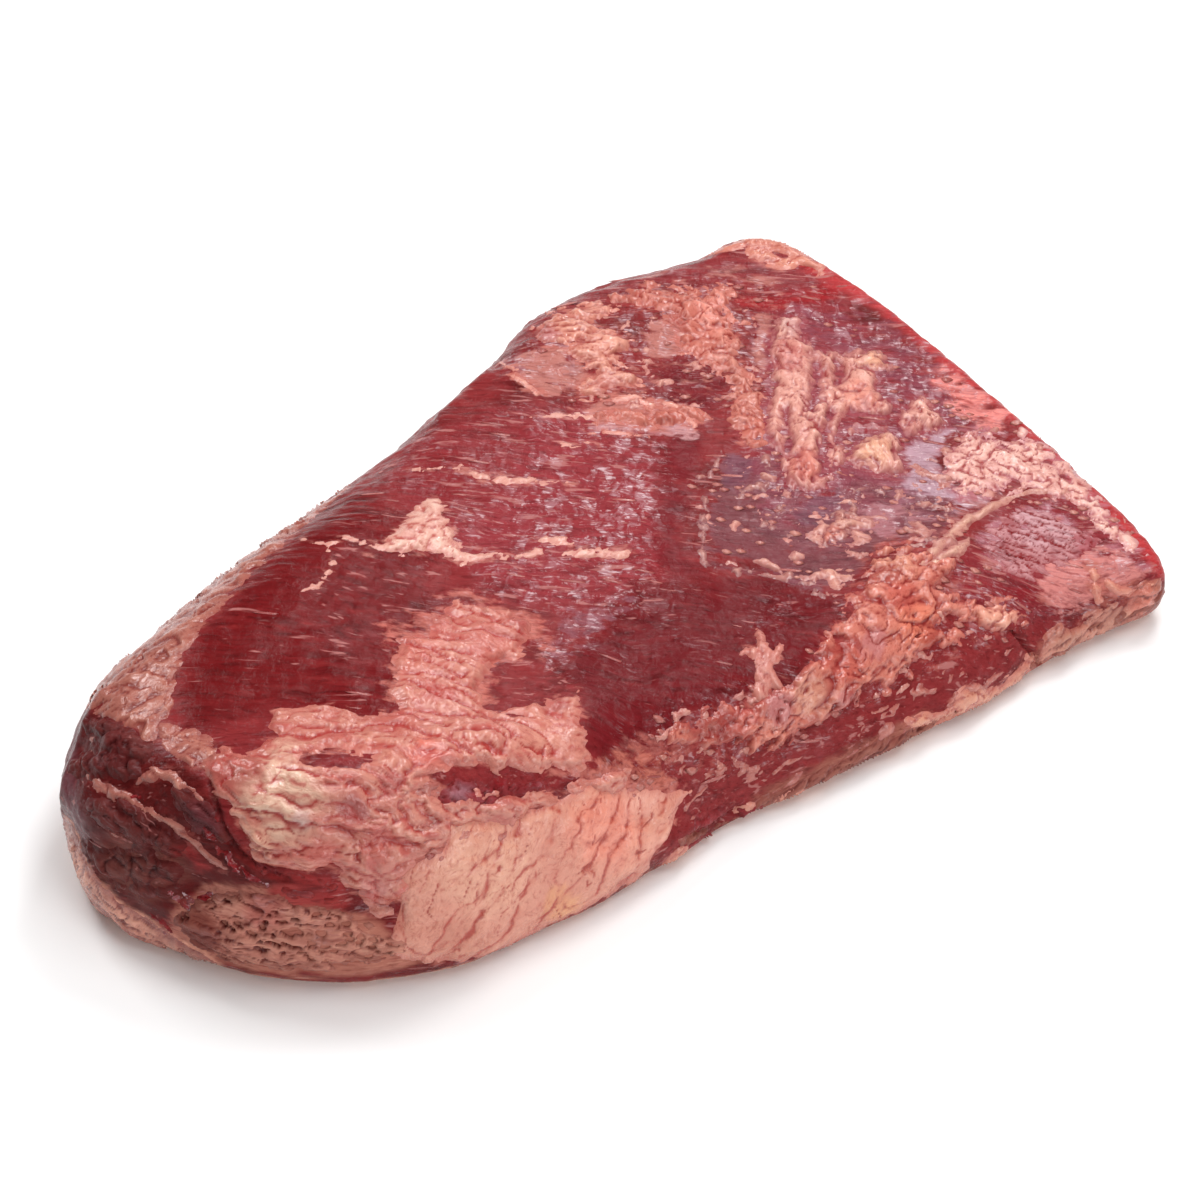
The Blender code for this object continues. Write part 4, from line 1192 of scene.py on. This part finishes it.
def leanMaterial(name, finish):
    material, tree, shader = newMaterial(name)
    grain = attribute(tree, "grain", "Vector")
    tint = attribute(tree, "tint", "Color")
    filmTint = attribute(tree, "filmTint", "Color")
    film, wet, marbling = (attribute(tree, kind) for kind in ("film", "wet", "marbling"))
    bent = bentVector(tree, grain, finish["bendSize"], finish["bend"])
    fibres, strands, columns, fine = (noiseNode(tree, bent, *values) for values in leanNoise.values())
    patches, streaks, net = (noiseNode(tree, grain, *values) for values in evenNoise.values())

    def ranged(value, name, most=None):
        low, high, *ends = leanRanges[name]
        return rangeNode(tree, value, low, high, *(ends if most is None else (0.0, most)))

    # dark lines between the fibres, and pale ones on them, partly the fibres' own paler tone and partly
    # painted highlight
    dark = blendColour(tree, 1.0, tint, finish["darker"], "MULTIPLY")
    pale = blendColour(tree, 1.0, tint, finish["paler"], "MULTIPLY")
    colour = blendColour(tree, ranged(fibres, "paleFibres"), tint, pale)
    colour = blendColour(tree, ranged(fibres, "darkFibres"), colour, dark)
    colour = blendColour(tree, ranged(strands, "darkStrands"), colour, dark)
    # marbling
    fatty = calculate(tree, "ADD", streaks, times(tree, marbling, finish["marblingMost"]))
    colour = blendColour(tree, ranged(fatty, "marbling"), colour, finish["marblingTint"])
    # film, torn into a net where it is thin, with the fibres showing through
    torn = times(tree, calculate(tree, "SUBTRACT", net, 0.5), finish["filmNet"])
    torn = ranged(calculate(tree, "ADD", film, torn), "torn", finish["filmCover"])
    cover = times(tree, torn, ranged(film, "filmEdge"))
    colour = blendColour(tree, cover, colour, filmTint)
    shade = blendColour(tree, 1.0, colour, finish["filmDarker"], "MULTIPLY")
    for lines in (ranged(fibres, "filmFibres"), ranged(strands, "filmStrands")):
        colour = blendColour(tree, times(tree, cover, lines), colour, shade)
    # painted sheen: lilac-white colour in waves across the fibres, and painted glints, bright specks along
    # them, laid on wet lean in place of reflected light
    where = calculate(tree, "MULTIPLY_ADD", wet, finish["wetPull"], patches)
    where = times(tree, ranged(where, "wetPatches"), times(tree, wet, wet))
    paintedSheenWaves = times(tree, ranged(columns, "paintedSheenWaves"), where)
    colour = blendColour(tree, times(tree, paintedSheenWaves, finish["sheen"]), colour, finish["paintedSheenTint"])
    inWaves, elsewhere = finish["paintedGlintShares"]
    paintedGlints = times(tree, ranged(fine, "paintedGlints"), ranged(columns, "paintedGlintWaves"),
                   calculate(tree, "MULTIPLY_ADD", where, inWaves, elsewhere),
                   ranged(wet, "paintedGlintWet", finish["paintedGlints"]))
    colour = blendColour(tree, paintedGlints, colour, finish["paintedGlintTint"])
    rough = calculate(tree, "MULTIPLY_ADD", wet, finish["wetRough"] - finish["dryRough"], finish["dryRough"])
    rise = ranged(wet, "rise")
    low = bumpNode(tree, times(tree, fibres, rise), finish["fibreBump"])
    normal = bumpNode(tree, times(tree, columns, rise), finish["columnBump"], low)
    feed(tree, shader, {"Base Color": colour, "Roughness": rough, "Normal": normal,
                        "Specular IOR Level": finish["specular"]})
    return material


leanLook = leanMaterial("lean meat", leanFinish)
dullLook = leanMaterial("dull lean", {**leanFinish, "dryRough": 0.45})
meat.data.materials.clear()
meat.data.materials.append(leanLook)
meat.data.shade_smooth()
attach(meat, "root")
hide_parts("brisket")


# Laying the fat.
def gridSpots(shapes, cell, margin):
    # a square grid of places on the sheet round the shapes
    corners = np.concatenate([np.array(shape, float)[:, :2] for shape in shapes])
    low = np.floor((corners.min(axis=0) - margin) / cell)
    high = np.ceil((corners.max(axis=0) + margin) / cell)
    across, up = np.meshgrid(np.arange(low[0], high[0] + 1), np.arange(low[1], high[1] + 1), indexing="ij")
    return across * cell, up * cell


def dropped(tree, across, up, wanted):
    # the spots of a grid, dropped square to the sheet onto the meat: points, normals, faces (-1 for a miss)
    points = np.zeros((*across.shape, 3))
    normals = np.zeros_like(points)
    faces = np.full(across.shape, -1)
    drop = Vector(sheetDrop)
    for index in np.argwhere(wanted):
        index = tuple(index)
        start = (sheetAcross * across[index] + sheetUp * up[index]) * mm - sheetDrop
        place, normal, face, _ = tree.ray_cast(Vector(start), drop, 3.0)
        if place is not None:
            points[index] = place
            normals[index] = normal
            faces[index] = face
    return points, normals, faces


def spread(values, known, rounds):
    # averages a grid with its neighbours, over known spots alone
    flat = values if values.ndim == 3 else values[..., None]
    weight = known.astype(float)[..., None]
    for _ in range(rounds):
        total = flat * weight
        share = weight.copy()
        for axis in (0, 1):
            for step in (-1, 1):
                rolled = np.roll(weight, step, axis=axis)
                total = total + np.roll(flat, step, axis=axis) * rolled
                share = share + rolled
        flat = np.where(known[..., None], total / np.maximum(share, 1), flat)
    return flat.reshape(values.shape)


def withoutCorners(cells):
    # fills one of two cells that touch only at a corner
    for _ in range(4):
        a, b, c, d = cells[:-1, :-1], cells[1:, :-1], cells[:-1, 1:], cells[1:, 1:]
        crossed = (a & d & ~b & ~c)
        cells[1:, :-1] |= crossed
        a, b, c, d = cells[:-1, :-1], cells[1:, :-1], cells[:-1, 1:], cells[1:, 1:]
        crossed = (b & c & ~a & ~d)
        cells[:-1, :-1] |= crossed
    return cells


def shellFrom(name, cells, top, under):
    # a closed shell between two grids of points over the chosen cells
    corner = np.zeros(top.shape[:2], bool)
    for i in (0, 1):
        for j in (0, 1):
            corner[i:cells.shape[0] + i, j:cells.shape[1] + j] |= cells
    number = np.full(corner.shape, -1)
    number[corner] = np.arange(corner.sum())
    count = int(corner.sum())
    a = number[:-1, :-1][cells]
    b = number[1:, :-1][cells]
    c = number[1:, 1:][cells]
    d = number[:-1, 1:][cells]
    faces = [np.stack([a, b, c, d], axis=1), np.stack([d, c, b, a], axis=1) + count]
    padded = np.pad(cells, 1)
    sides = (
        ((0, -1), number[:-1, :-1], number[1:, :-1]),
        ((1, 0), number[1:, :-1], number[1:, 1:]),
        ((0, 1), number[1:, 1:], number[:-1, 1:]),
        ((-1, 0), number[:-1, 1:], number[:-1, :-1]),
    )
    for (i, j), first, second in sides:
        edge = cells & ~padded[1 + i:1 + i + cells.shape[0], 1 + j:1 + j + cells.shape[1]]
        here, there = first[edge], second[edge]
        faces.append(np.stack([there, here, here + count, there + count], axis=1))
    faces = np.concatenate(faces)
    points = np.concatenate([top[corner], under[corner]])
    mesh = bpy.data.meshes.new(name)
    mesh.vertices.add(len(points))
    mesh.loops.add(faces.size)
    mesh.polygons.add(len(faces))
    mesh.vertices.foreach_set("co", points.astype(np.float32).ravel())
    mesh.loops.foreach_set("vertex_index", faces.astype(np.int32).ravel())
    mesh.polygons.foreach_set("loop_start", np.arange(0, faces.size, 4, dtype=np.int32))
    mesh.update(calc_edges=True)
    mesh.validate()
    return mesh, corner


# What the height of the fat is made of, as shares of the height of a fold. Pairs hold a share and a
# size over the fold's width.
foldMix = {
    "folds": 0.6,
    "small": (0.10, 0.42),
    "smallBusy": 0.22,          # more of them where it is busy
    "tiny": (0.10, 0.2),
    "layers": (0.5, 2.2),
    "layerRagged": (0.12, 0.5),
    "grains": 0.25,
    "swell": (0.4, 3),
    "lobeReach": 0.8,
    "busySize": 24,             # these four in millimetres
    "grainySize": 30,
    "creasedSize": 14,
    "pittedSize": 22,
    "billow": (1.7, 0.7),       # how round the folds are: gain and curve
    "middle": 0.35,             # the height that counts as level
    "thin": 0.35,               # how much of it is left at the edge
    "thinRise": 0.4,            # and of the height above the meat
}


# The colours of the fat, on top of the tones of each piece, with painted shade in its furrows and crevices
# and painted highlight on its fold tops.
fatTints = {
    "blushSize": (26, 10, 10),  # red patches, in millimetres
    "flushSize": (9, 3.5, 3.5),
    # paler is painted highlight on the fold tops; darker and the furrow and crevice shares give painted
    # shade in the hollows, the furrows partly the fat's own red
    "paler": (1.08, 1.18, 1.18),
    "darker": (0.8, 0.45, 0.42),
    "furrow": 0.8,
    "crevice": 0.9,
    "thin": 0.8,
}


def longWay(size, long):
    return size * long, size, size


def billow(folds, size, long, seed):
    # round folds with sharp furrows between them, 0 to 1
    gain, curve = foldMix["billow"]
    return np.minimum(np.abs(softNoise(folds, longWay(size, long), seed)) * gain, 1) ** curve


def fatRelief(folds, places, habit, seed):
    size, long = habit["lumpSize"], habit["stretch"]
    height = foldMix["folds"] * (1 - habit["lobes"]) * billow(folds, size, long, seed)
    if habit["lobes"]:
        away = lobules(folds, longWay(size, long), seed + 13)[0]
        height += habit["lobes"] * (1 - np.minimum(away / foldMix["lobeReach"], 1) ** 2)
    busy = smoothStep(-0.3, 0.5, softNoise(places, foldMix["busySize"], seed + 10))
    share, small = foldMix["small"]
    height += (share + foldMix["smallBusy"] * busy) * billow(folds, small * size, long, seed + 1)
    share, small = foldMix["tiny"]
    height += share * busy * billow(folds, small * size, 0.7 * long, seed + 2)
    # layers that overlap like shingles, with a step at their edge
    share, wide = foldMix["layers"]
    layer = habit["layers"] * softNoise(folds, longWay(wide * size, long), seed + 3)
    ragged, raggedSize = foldMix["layerRagged"]
    layer += ragged * softNoise(folds, raggedSize * size, seed + 4)
    layer = layer - np.floor(layer)
    height += share * layer * (1 - smoothStep(0.88, 1.0, layer))
    # small grains, wrinkles, a slow swell and the holes of a sponge
    grains = 1 - smoothStep(0.15, 0.75, lobules(folds, longWay(habit["grainSize"], 1.5), seed + 5)[0])
    grainy = softNoise(places, foldMix["grainySize"], seed + 6) + habit["grainy"]
    height += foldMix["grains"] * smoothStep(0.2, 0.7, grainy) * grains
    crease = softNoise(folds, longWay(habit["creaseSize"], long), seed + 7)
    crease = 1 - smoothStep(0.0, habit["creaseWidth"], np.abs(crease))
    crease *= smoothStep(0.0, 0.4, softNoise(folds, foldMix["creasedSize"], seed + 8))
    share, wide = foldMix["swell"]
    height += share * softNoise(places, wide * size, seed + 9) - habit["crease"] / habit["lump"] * crease
    if habit["pits"]:
        pits = 1 - smoothStep(0.22, 0.46, lobules(folds, longWay(habit["pitSize"], 1.9), seed + 11)[0])
        pits *= smoothStep(-0.35, 0.1, softNoise(places, foldMix["pittedSize"], seed + 12))
        height -= habit["pits"] / habit["lump"] * pits
    return height


# How a piece is laid, in millimetres.
laying = {
    "margin": 8,                        # of grid round the shapes
    "ragged": 1.6,                      # how much further than its raggedness an edge may reach
    "wander": ((3.0, 13), (0.8, 4)),    # how far the folds wander, and over what length
    "holeDepth": 10,
    "tuftDepth": 7,
    "facing": (0.04, 0.22),             # it thins out where the meat turns away
    "full": 6.0,                        # as thick as it gets, this far from the edge
    "shown": 0.03,                      # least share of its height that counts
    "smooth": (4, 6, 40),               # rounds of smoothing: normals, near bumps, wide bumps
    "jump": 8,                          # cells; a deeper step than this tears it
    "under": 0.9,                       # how far the underside lies below the sunk edge
}


def fatColours(folds, places, ragged, reach, near, wide, habit, seed):
    # cream on the folds, paler on the fold tops (partly painted highlight), red in the furrows (partly the
    # fat's own red, partly painted shade), dark in the crevices (painted shade), thin and pink at the edge
    tint = np.tile(paintColour(*habit["tone"]), (len(reach), 1))
    for spotAcross, spotUp, spotReach, colour, strength in habit["spots"]:
        away = np.hypot(places[:, 0] - spotAcross, places[:, 1] - spotUp) + 4 * ragged
        share = 1 - smoothStep(0.4 * spotReach, spotReach, away)
        tint = mixed(tint, paintColour(*colour), strength * share)
    furrow = paintColour(*habit["furrow"])
    blush = smoothStep(-0.1, 0.8, roughNoise(folds, fatTints["blushSize"], seed + 28))
    flush = smoothStep(0.15, 0.8, roughNoise(folds, fatTints["flushSize"], seed + 29))
    tint = mixed(tint, furrow, habit["blush"] * np.maximum(blush, flush))
    # painted highlight on the fold tops, painted shade in the furrows and crevices, from how far each spot
    # stands above its surroundings
    pale = np.minimum(tint * np.array(fatTints["paler"]), 1)
    tint = mixed(tint, pale, smoothStep(0.05, 0.3, wide) * (1 - blush))
    tint = mixed(tint, furrow, fatTints["furrow"] * smoothStep(0.0, 0.28, -wide))
    dark = furrow * np.array(fatTints["darker"])
    tint = mixed(tint, dark, fatTints["crevice"] * smoothStep(0.02, 0.14, -near))
    return mixed(tint, paintColour(*habit["thin"]), fatTints["thin"] * (1 - smoothStep(-0.5, 5.0, reach)))


def layFat(tree, skin, name, habit, seed):
    # a closed shell of fat over its shapes, dropped onto the meat, with its colours
    across, up = gridSpots(habit["shapes"], habit["cell"], laying["margin"])
    spots = np.stack([across.ravel(), up.ravel()], axis=1)
    reach = insideFat(spots, habit).reshape(across.shape)
    wanted = reach > -habit["ragged"] * laying["ragged"] - habit["edge"]
    points, normals, faces = dropped(tree, across, up, wanted)
    hits = faces >= 0
    normalRounds, nearRounds, wideRounds = laying["smooth"]
    normals = spread(normals, hits, normalRounds)
    normals /= np.maximum(np.linalg.norm(normals, axis=2), 1e-6)[..., None]
    reach = reach[hits]
    places = onSheet(points[hits])
    folds = turned(places, habit["lay"])
    for first, (far, size) in zip((21, 24), laying["wander"]):
        pushes = [softNoise(places, size, seed + first + axis) for axis in range(3)]
        folds += habit["sway"] * far * np.stack(pushes, axis=1)
    long = habit["stretch"]
    ragged = roughNoise(folds, longWay(habit["raggedSize"], long), seed, 4)
    holes = roughNoise(folds, longWay(habit["holeSize"], long), seed + 27, 4)
    holes = smoothStep(0.9 - 2 * habit["holes"], 1.2, holes)
    reach = reach + habit["ragged"] * ragged - laying["holeDepth"] * holes
    tufts = roughNoise(folds, longWay(habit["tuftSize"], long), seed + 31, 4)
    reach = np.minimum(reach, laying["tuftDepth"] * (tufts - habit["tufts"]))
    facing = smoothStep(*laying["facing"], -(normals[hits] @ sheetDrop))
    cover = smoothStep(-0.5 * habit["edge"], 0.5 * habit["edge"], reach) * facing
    full = smoothStep(0.0, laying["full"], reach)
    thin = foldMix["thin"]
    bumps = np.zeros(across.shape)
    bumps[hits] = fatRelief(folds, places, habit, seed + 30) * (thin + (1 - thin) * full)
    # how far each spot stands above its near and wide surroundings, for the painted shade and highlight of
    # fatColours
    near = (bumps - spread(bumps, hits, nearRounds))[hits]
    wide = (bumps - spread(bumps, hits, wideRounds))[hits]
    thin = foldMix["thinRise"]
    height = habit["rise"] * (thin + (1 - thin) * full) + habit["lump"] * (bumps[hits] - foldMix["middle"])
    height = -habit["sink"] + (habit["sink"] + height) * cover
    grid = np.zeros(across.shape)
    grid[hits] = height
    shown = np.zeros(across.shape, bool)
    shown[hits] = cover > laying["shown"]
    # only cells that lie whole on the meat, without a jump in depth
    whole = hits[:-1, :-1] & hits[1:, :-1] & hits[:-1, 1:] & hits[1:, 1:]
    deep = points @ sheetDrop / mm
    jump = laying["jump"] * habit["cell"]
    broken = np.abs(deep[:-1] - deep[1:]) > jump
    whole &= ~(broken[:, :-1] | broken[:, 1:])
    broken = np.abs(deep[:, :-1] - deep[:, 1:]) > jump
    whole &= ~(broken[:-1] | broken[1:])
    cells = whole & (shown[:-1, :-1] | shown[1:, :-1] | shown[:-1, 1:] | shown[1:, 1:])
    cells = withoutCorners(cells) & whole
    top = points + normals * (grid * mm)[..., None]
    under = points - normals * ((habit["sink"] + laying["under"]) * mm)
    mesh, corner = shellFrom(name, cells, top, under)
    tint = fatColours(folds, places, ragged, reach, near, wide, habit, seed)
    # the meat's own colour at the very edge
    tint = mixed(skin[faces[hits]], tint, smoothStep(-0.6 * habit["edge"], 0.35 * habit["edge"], reach))
    # the same colour and grain above and below
    for kind, values, store in (("tint", tint, storeColour), ("grain", folds, storeVector)):
        grids = np.zeros((*across.shape, 3))
        grids[hits] = values
        store(mesh, kind, np.concatenate([grids[corner], grids[corner]]))
    storeNumber(mesh, "wet", np.full(len(mesh.vertices), habit["wet"]))
    return newObject(name, mesh)


# The fat's material.
fatFinish = {
    "rough": 0.27,
    "roughSpread": (0.12, -0.04),
    "wetter": -0.16,
    "bump": 0.40 * mm,
    "veins": 0.45,
    "veinWidth": 0.028,
    "veinPatches": (0.42, 0.6),
    "specular": 0.5,
    "darker": (0.66, 0.36, 0.32),
    "paler": (1.08, 1.10, 1.10),
    # the grit's low and high end, and the share that each end gives
    "darkGrit": (0.30, 0.48, 0.55, 0.0),
    "paleGrit": (0.52, 0.70, 0.0, 0.7),
    "roughGrit": (0.3, 0.7),
}
fatNoise = {
    # scale along the folds and across them twice, detail, roughness, distortion
    "grit": ((0.45, 0.7, 0.7), 3.0, 0.5, 0.0),
    "smear": ((0.06, 0.16, 0.16), 2.0, 0.5, 0.0),
    "lines": ((0.10, 0.22, 0.22), 3.0, 0.6, 0.8),
}


def fatMaterial():
    material, tree, shader = newMaterial("beef fat")
    grain = attribute(tree, "grain", "Vector")
    tint = attribute(tree, "tint", "Color")
    grit, smear, lines = (noiseNode(tree, grain, *values) for values in fatNoise.values())
    lines = calculate(tree, "ABSOLUTE", calculate(tree, "SUBTRACT", lines, 0.5))
    veins = times(tree, rangeNode(tree, lines, 0.0, fatFinish["veinWidth"], fatFinish["veins"], 0.0),
                  rangeNode(tree, smear, *fatFinish["veinPatches"]))
    dark = blendColour(tree, 1.0, tint, fatFinish["darker"], "MULTIPLY")
    pale = blendColour(tree, 1.0, tint, fatFinish["paler"], "MULTIPLY")
    colour = blendColour(tree, rangeNode(tree, grit, *fatFinish["darkGrit"]), tint, dark)
    colour = blendColour(tree, rangeNode(tree, grit, *fatFinish["paleGrit"]), colour, pale)
    colour = blendColour(tree, veins, colour, dark)
    ends = (fatFinish["rough"] + step for step in fatFinish["roughSpread"])
    rough = rangeNode(tree, grit, *fatFinish["roughGrit"], *ends)
    rough = calculate(tree, "MULTIPLY_ADD", attribute(tree, "wet"), fatFinish["wetter"], rough)
    feed(tree, shader, {"Base Color": colour, "Roughness": rough,
                        "Normal": bumpNode(tree, grit, fatFinish["bump"]),
                        "Specular IOR Level": fatFinish["specular"]})
    return material


fatLook = fatMaterial()
faceCorners = np.array([tuple(face.vertices) for face in meat.data.polygons])
meatTree = BVHTree.FromPolygons([tuple(point) for point in meshPoints(meat.data)], faceCorners.tolist())
skin = skinTint[faceCorners].mean(axis=1)

# Small lobules of fat in the film, and slivers of marbling in the lean.
scatters = {
    "fat_lobules": {
        "where": "lobules",
        "spacing": 5.0 * mm,
        "size": (2.2 * mm, 1.3 * mm, 0.7 * mm),
        "smallest": 0.4,
        "largest": 1.3,
        "sunk": 0.5,
        "uneven": 0.55,
        "tones": ((190, 122, 110), (158, 80, 76)),
        "seed": 5,
    },
    "marbling": {
        "where": "slivers",
        "spacing": 7.0 * mm,
        "size": (5.5 * mm, 0.7 * mm, 0.3 * mm),
        "smallest": 0.4,
        "largest": 1.4,
        "sunk": 0.35,
        "uneven": 0.3,
        "tones": ((182, 108, 102), (146, 66, 64)),
        "seed": 9,
    },
}


def lumpMesh(name, rings, sides, uneven, seed):
    # a closed round lump, one across each way, a little uneven
    points = [(0, 0, 1)]
    for ring in range(1, rings):
        angle = math.pi * ring / rings
        wide, high = math.sin(angle), math.cos(angle)
        for side in range(sides):
            turning = 2 * math.pi * (side + 0.5 * (ring % 2)) / sides
            points.append((wide * math.cos(turning), wide * math.sin(turning), high))
    points.append((0, 0, -1))
    points = np.array(points)
    points *= (1 + uneven * softNoise(points, 0.9, seed))[:, None]
    faces = [(0, 1 + side, 1 + (side + 1) % sides) for side in range(sides)]
    for ring in range(rings - 2):
        for side in range(sides):
            here = 1 + ring * sides + side
            beside = 1 + ring * sides + (side + 1) % sides
            faces.append((here, here + sides, beside + sides, beside))
    last = len(points) - 1
    start = 1 + (rings - 2) * sides
    faces += [(start + side, last, start + (side + 1) % sides) for side in range(sides)]
    mesh = bpy.data.meshes.new(name)
    mesh.from_pydata(points.tolist(), [], faces)
    return mesh


mostPoints = 1e6    # points to a square metre before the spacing thins them out


def scatterTree(lump, where, finish):
    # lumps on the faces of a mesh, laid along its fibres, as thick as the attribute says
    tree = bpy.data.node_groups.new("scatter", "GeometryNodeTree")
    tree.interface.new_socket("Geometry", in_out="INPUT", socket_type="NodeSocketGeometry")
    for name, kind in (("Spacing", "Float"), ("Size", "Vector"), ("Smallest", "Float"), ("Largest", "Float"),
                       ("Sunk", "Float"), ("Seed", "Int")):
        tree.interface.new_socket(name, in_out="INPUT", socket_type="NodeSocket" + kind)
    tree.interface.new_socket("Geometry", in_out="OUTPUT", socket_type="NodeSocketGeometry")
    given = tree.nodes.new("NodeGroupInput").outputs

    def geometry(kind, inputs, **settings):
        return addNode(tree, "GeometryNode" + kind, inputs, **settings)

    density = geometry("InputNamedAttribute", {"Name": where})["Attribute"]
    fibre = geometry("InputNamedAttribute", {"Name": "fibre"}, data_type="FLOAT_VECTOR")["Attribute"]
    inputs = {"Mesh": given["Geometry"], "Distance Min": given["Spacing"], "Density Max": mostPoints,
              "Density Factor": density, "Seed": given["Seed"]}
    points = geometry("DistributePointsOnFaces", inputs, distribute_method="POISSON")
    inputs = {"Rotation": points["Rotation"], "Vector": fibre}
    along = addNode(tree, "FunctionNodeAlignRotationToVector", inputs, axis="X", pivot_axis="Z")["Rotation"]
    inputs = {2: given["Smallest"], 3: given["Largest"], "Seed": given["Seed"]}
    amount = addNode(tree, "FunctionNodeRandomValue", inputs)[1]
    inputs = {0: given["Size"], "Scale": amount}
    scale = addNode(tree, "ShaderNodeVectorMath", inputs, operation="SCALE")["Vector"]
    lumps = geometry("ObjectInfo", {"Object": lump})["Geometry"]
    inputs = {"Points": points["Points"], "Instance": lumps, "Rotation": along, "Scale": scale}
    placed = geometry("InstanceOnPoints", inputs)["Instances"]
    drop = addNode(tree, "ShaderNodeCombineXYZ", {"Z": given["Sunk"]})["Vector"]
    sunk = geometry("TranslateInstances", {"Instances": placed, "Translation": drop})["Instances"]
    joined = geometry("RealizeInstances", {"Geometry": sunk})["Geometry"]
    painted = geometry("SetMaterial", {"Geometry": joined, "Material": finish})["Geometry"]
    addNode(tree, "NodeGroupOutput", {"Geometry": painted})
    return tree


def strew(name, habit, finish):
    # the lumps as one plain mesh, each with a tone of its own
    lump = newObject("lump", lumpMesh("lump", 5, 8, habit["uneven"], habit["seed"]))
    corners = len(lump.data.vertices)
    host = newObject(name, meat.data.copy())
    tree = scatterTree(lump, habit["where"], finish)
    modifier = host.modifiers.new("scatter", "NODES")
    modifier.node_group = tree
    values = {key.capitalize(): habit[key] for key in ("spacing", "size", "smallest", "largest", "seed")}
    values["Sunk"] = -habit["sunk"] * habit["size"][2]
    for socket in tree.interface.items_tree:
        if socket.in_out == "INPUT" and socket.name in values:
            modifier[socket.identifier] = values[socket.name]
    mesh = settled(host)
    bpy.data.objects.remove(lump)
    places = onSheet(meshPoints(mesh))
    order = np.arange(len(places)) // corners
    mood = threeOf(scrambled(np.stack([order, order, order], axis=1), habit["seed"]))[:, :1]
    pale, dull = (paintColour(*tone) for tone in habit["tones"])
    storeColour(mesh, "tint", pale + (dull - pale) * mood)
    storeVector(mesh, "grain", places)
    mesh.shade_smooth()
    return host


# Every piece of fat has seeds of its own, seedStep apart, in the order of the dictionaries.
firstSeed, seedStep = 100, 70


def rideAlong(piece):
    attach(piece, "root")
    print("brisket:", piece.name, len(piece.data.polygons) * 2, "triangles")


laid = [(name, own, fatLook) for name, own in fatPieces.items()]
laid += [(name, own, dullLook) for name, own in leanPieces.items()]
for order, (name, own, look) in enumerate(laid):
    piece = layFat(meatTree, skin, name, {**fatHabit, **own}, firstSeed + seedStep * order)
    piece.data.materials.append(look)
    piece.data.shade_smooth()
    rideAlong(piece)
print("brisket: fat laid")

for name, habit in scatters.items():
    rideAlong(strew(name, habit, fatLook))
print("brisket: lobules and slivers strewn")
